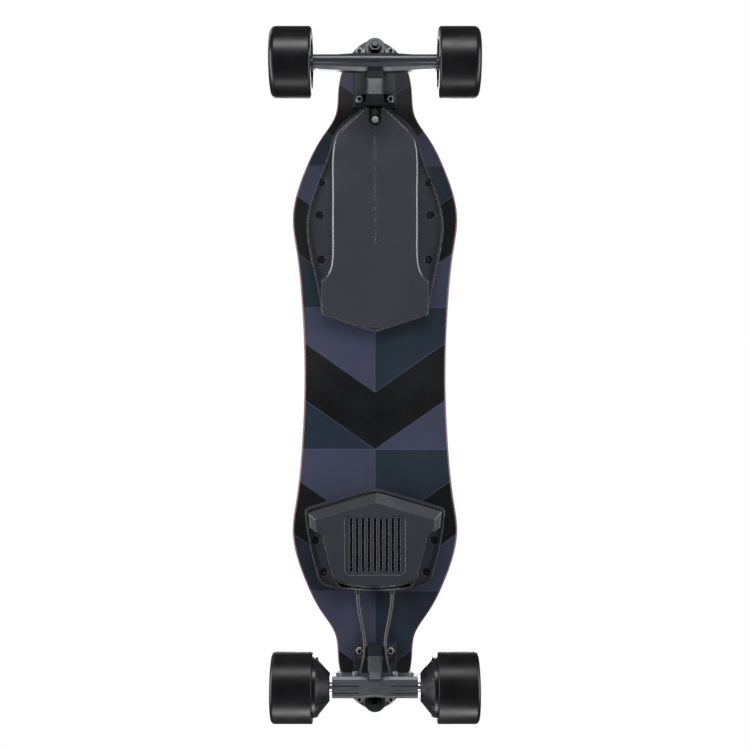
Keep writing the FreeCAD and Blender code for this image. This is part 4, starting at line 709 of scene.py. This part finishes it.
def pale_surround(scene, studio):
    """A white surround that lights the board only dimly."""
    world = bpy.data.worlds.new("pale_surround")
    scene.world = world
    world.use_nodes = True
    tree = world.node_tree
    tree.nodes.clear()
    backdrop = add(tree, "ShaderNodeBackground", {"Color": rgba(studio.sky),
                                                  "Strength": 1.0})
    room = add(tree, "ShaderNodeBackground", {"Color": rgba(studio.sky),
                                              "Strength": studio.ambient})
    seen = add(tree, "ShaderNodeLightPath").outputs["Is Camera Ray"]
    both = add(tree, "ShaderNodeMixShader", {0: seen, 1: room.outputs[0],
                                             2: backdrop.outputs[0]})
    add(tree, "ShaderNodeOutputWorld", {"Surface": both.outputs[0]})


def hang_lights(scene):
    """The panel lights and an even skylight from straight above."""
    for name, place, target, width, height, power in PANEL_LIGHTS:
        lamp = bpy.data.lights.new(name, "AREA")
        lamp.shape = "RECTANGLE"
        lamp.size = width
        lamp.size_y = height
        lamp.energy = power
        holder = bpy.data.objects.new(name, lamp)
        holder.location = place
        way = Vector(target) - Vector(place)
        holder.rotation_euler = way.to_track_quat("-Z", "Y").to_euler()
        holder.visible_camera = False
        scene.collection.objects.link(holder)
    skylight = bpy.data.lights.new("over_all", "SUN")
    skylight.energy = SKYLIGHT_STRENGTH
    skylight.angle = math.radians(SKYLIGHT_ANGLE)
    scene.collection.objects.link(bpy.data.objects.new("over_all", skylight))


def place_camera(scene, studio):
    """A camera straight below the middle of the board, looking up with the nose at the top."""
    low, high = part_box("front_axle")
    axle_height = (low.z + high.z) / 2
    view = bpy.data.cameras.new("view")
    view.lens = studio.lens
    view.sensor_width = SENSOR_WIDTH
    view.clip_end = VIEW_LIMIT
    camera = bpy.data.objects.new("view", view)
    camera.location = (0.0, 0.0, axle_height - studio.distance)
    camera.rotation_euler = (math.pi, 0.0, 0.0)
    scene.collection.objects.link(camera)
    scene.camera = camera


class BOARD_OT_studio(bpy.types.Operator):
    """Set up the floor, surround, lights and camera"""
    bl_idname = "board.studio"
    bl_label = "Studio"

    def execute(self, context):
        scene = context.scene
        studio = scene.board_studio
        lay_floor(scene, studio)
        scene.view_settings.view_transform = "Standard"
        pale_surround(scene, studio)
        hang_lights(scene)
        place_camera(scene, studio)
        return {"FINISHED"}


# ---------------------------------------------------------------- panel and running

OPERATORS = [BOARD_OT_studio, BOARD_OT_leads, BOARD_OT_deck, BOARD_OT_cases, BOARD_OT_inner,
             BOARD_OT_trucks, BOARD_OT_fasteners, BOARD_OT_wheels]


class BOARD_PT_panel(bpy.types.Panel):
    """Lists the settings and the makers of each piece"""
    bl_idname = "BOARD_PT_panel"
    bl_label = "Electric Skateboard"
    bl_space_type = "VIEW_3D"
    bl_region_type = "UI"
    bl_category = "Skateboard"

    def draw(self, context):
        for name, group in SETTINGS.items():
            box = self.layout.box()
            box.label(text=group.__doc__)
            for key in group.__annotations__:
                box.prop(getattr(context.scene, name), key)
        for operator in OPERATORS:
            self.layout.operator(operator.bl_idname)


def register():
    for group in SETTINGS.values():
        bpy.utils.register_class(group)
    for name, group in SETTINGS.items():
        setattr(bpy.types.Scene, name, bpy.props.PointerProperty(type=group))
    for operator in OPERATORS:
        bpy.utils.register_class(operator)
    bpy.utils.register_class(BOARD_PT_panel)


def unregister():
    bpy.utils.unregister_class(BOARD_PT_panel)
    for operator in reversed(OPERATORS):
        bpy.utils.unregister_class(operator)
    for name in SETTINGS:
        delattr(bpy.types.Scene, name)
    for group in reversed(list(SETTINGS.values())):
        bpy.utils.unregister_class(group)


def main():
    register()
    bpy.ops.board.studio()
    bpy.ops.board.leads()
    bpy.ops.board.deck()
    bpy.ops.board.cases()
    bpy.ops.board.inner()
    bpy.ops.board.trucks()
    bpy.ops.board.fasteners()
    bpy.ops.board.wheels()


if __name__ == "__main__":
    main()
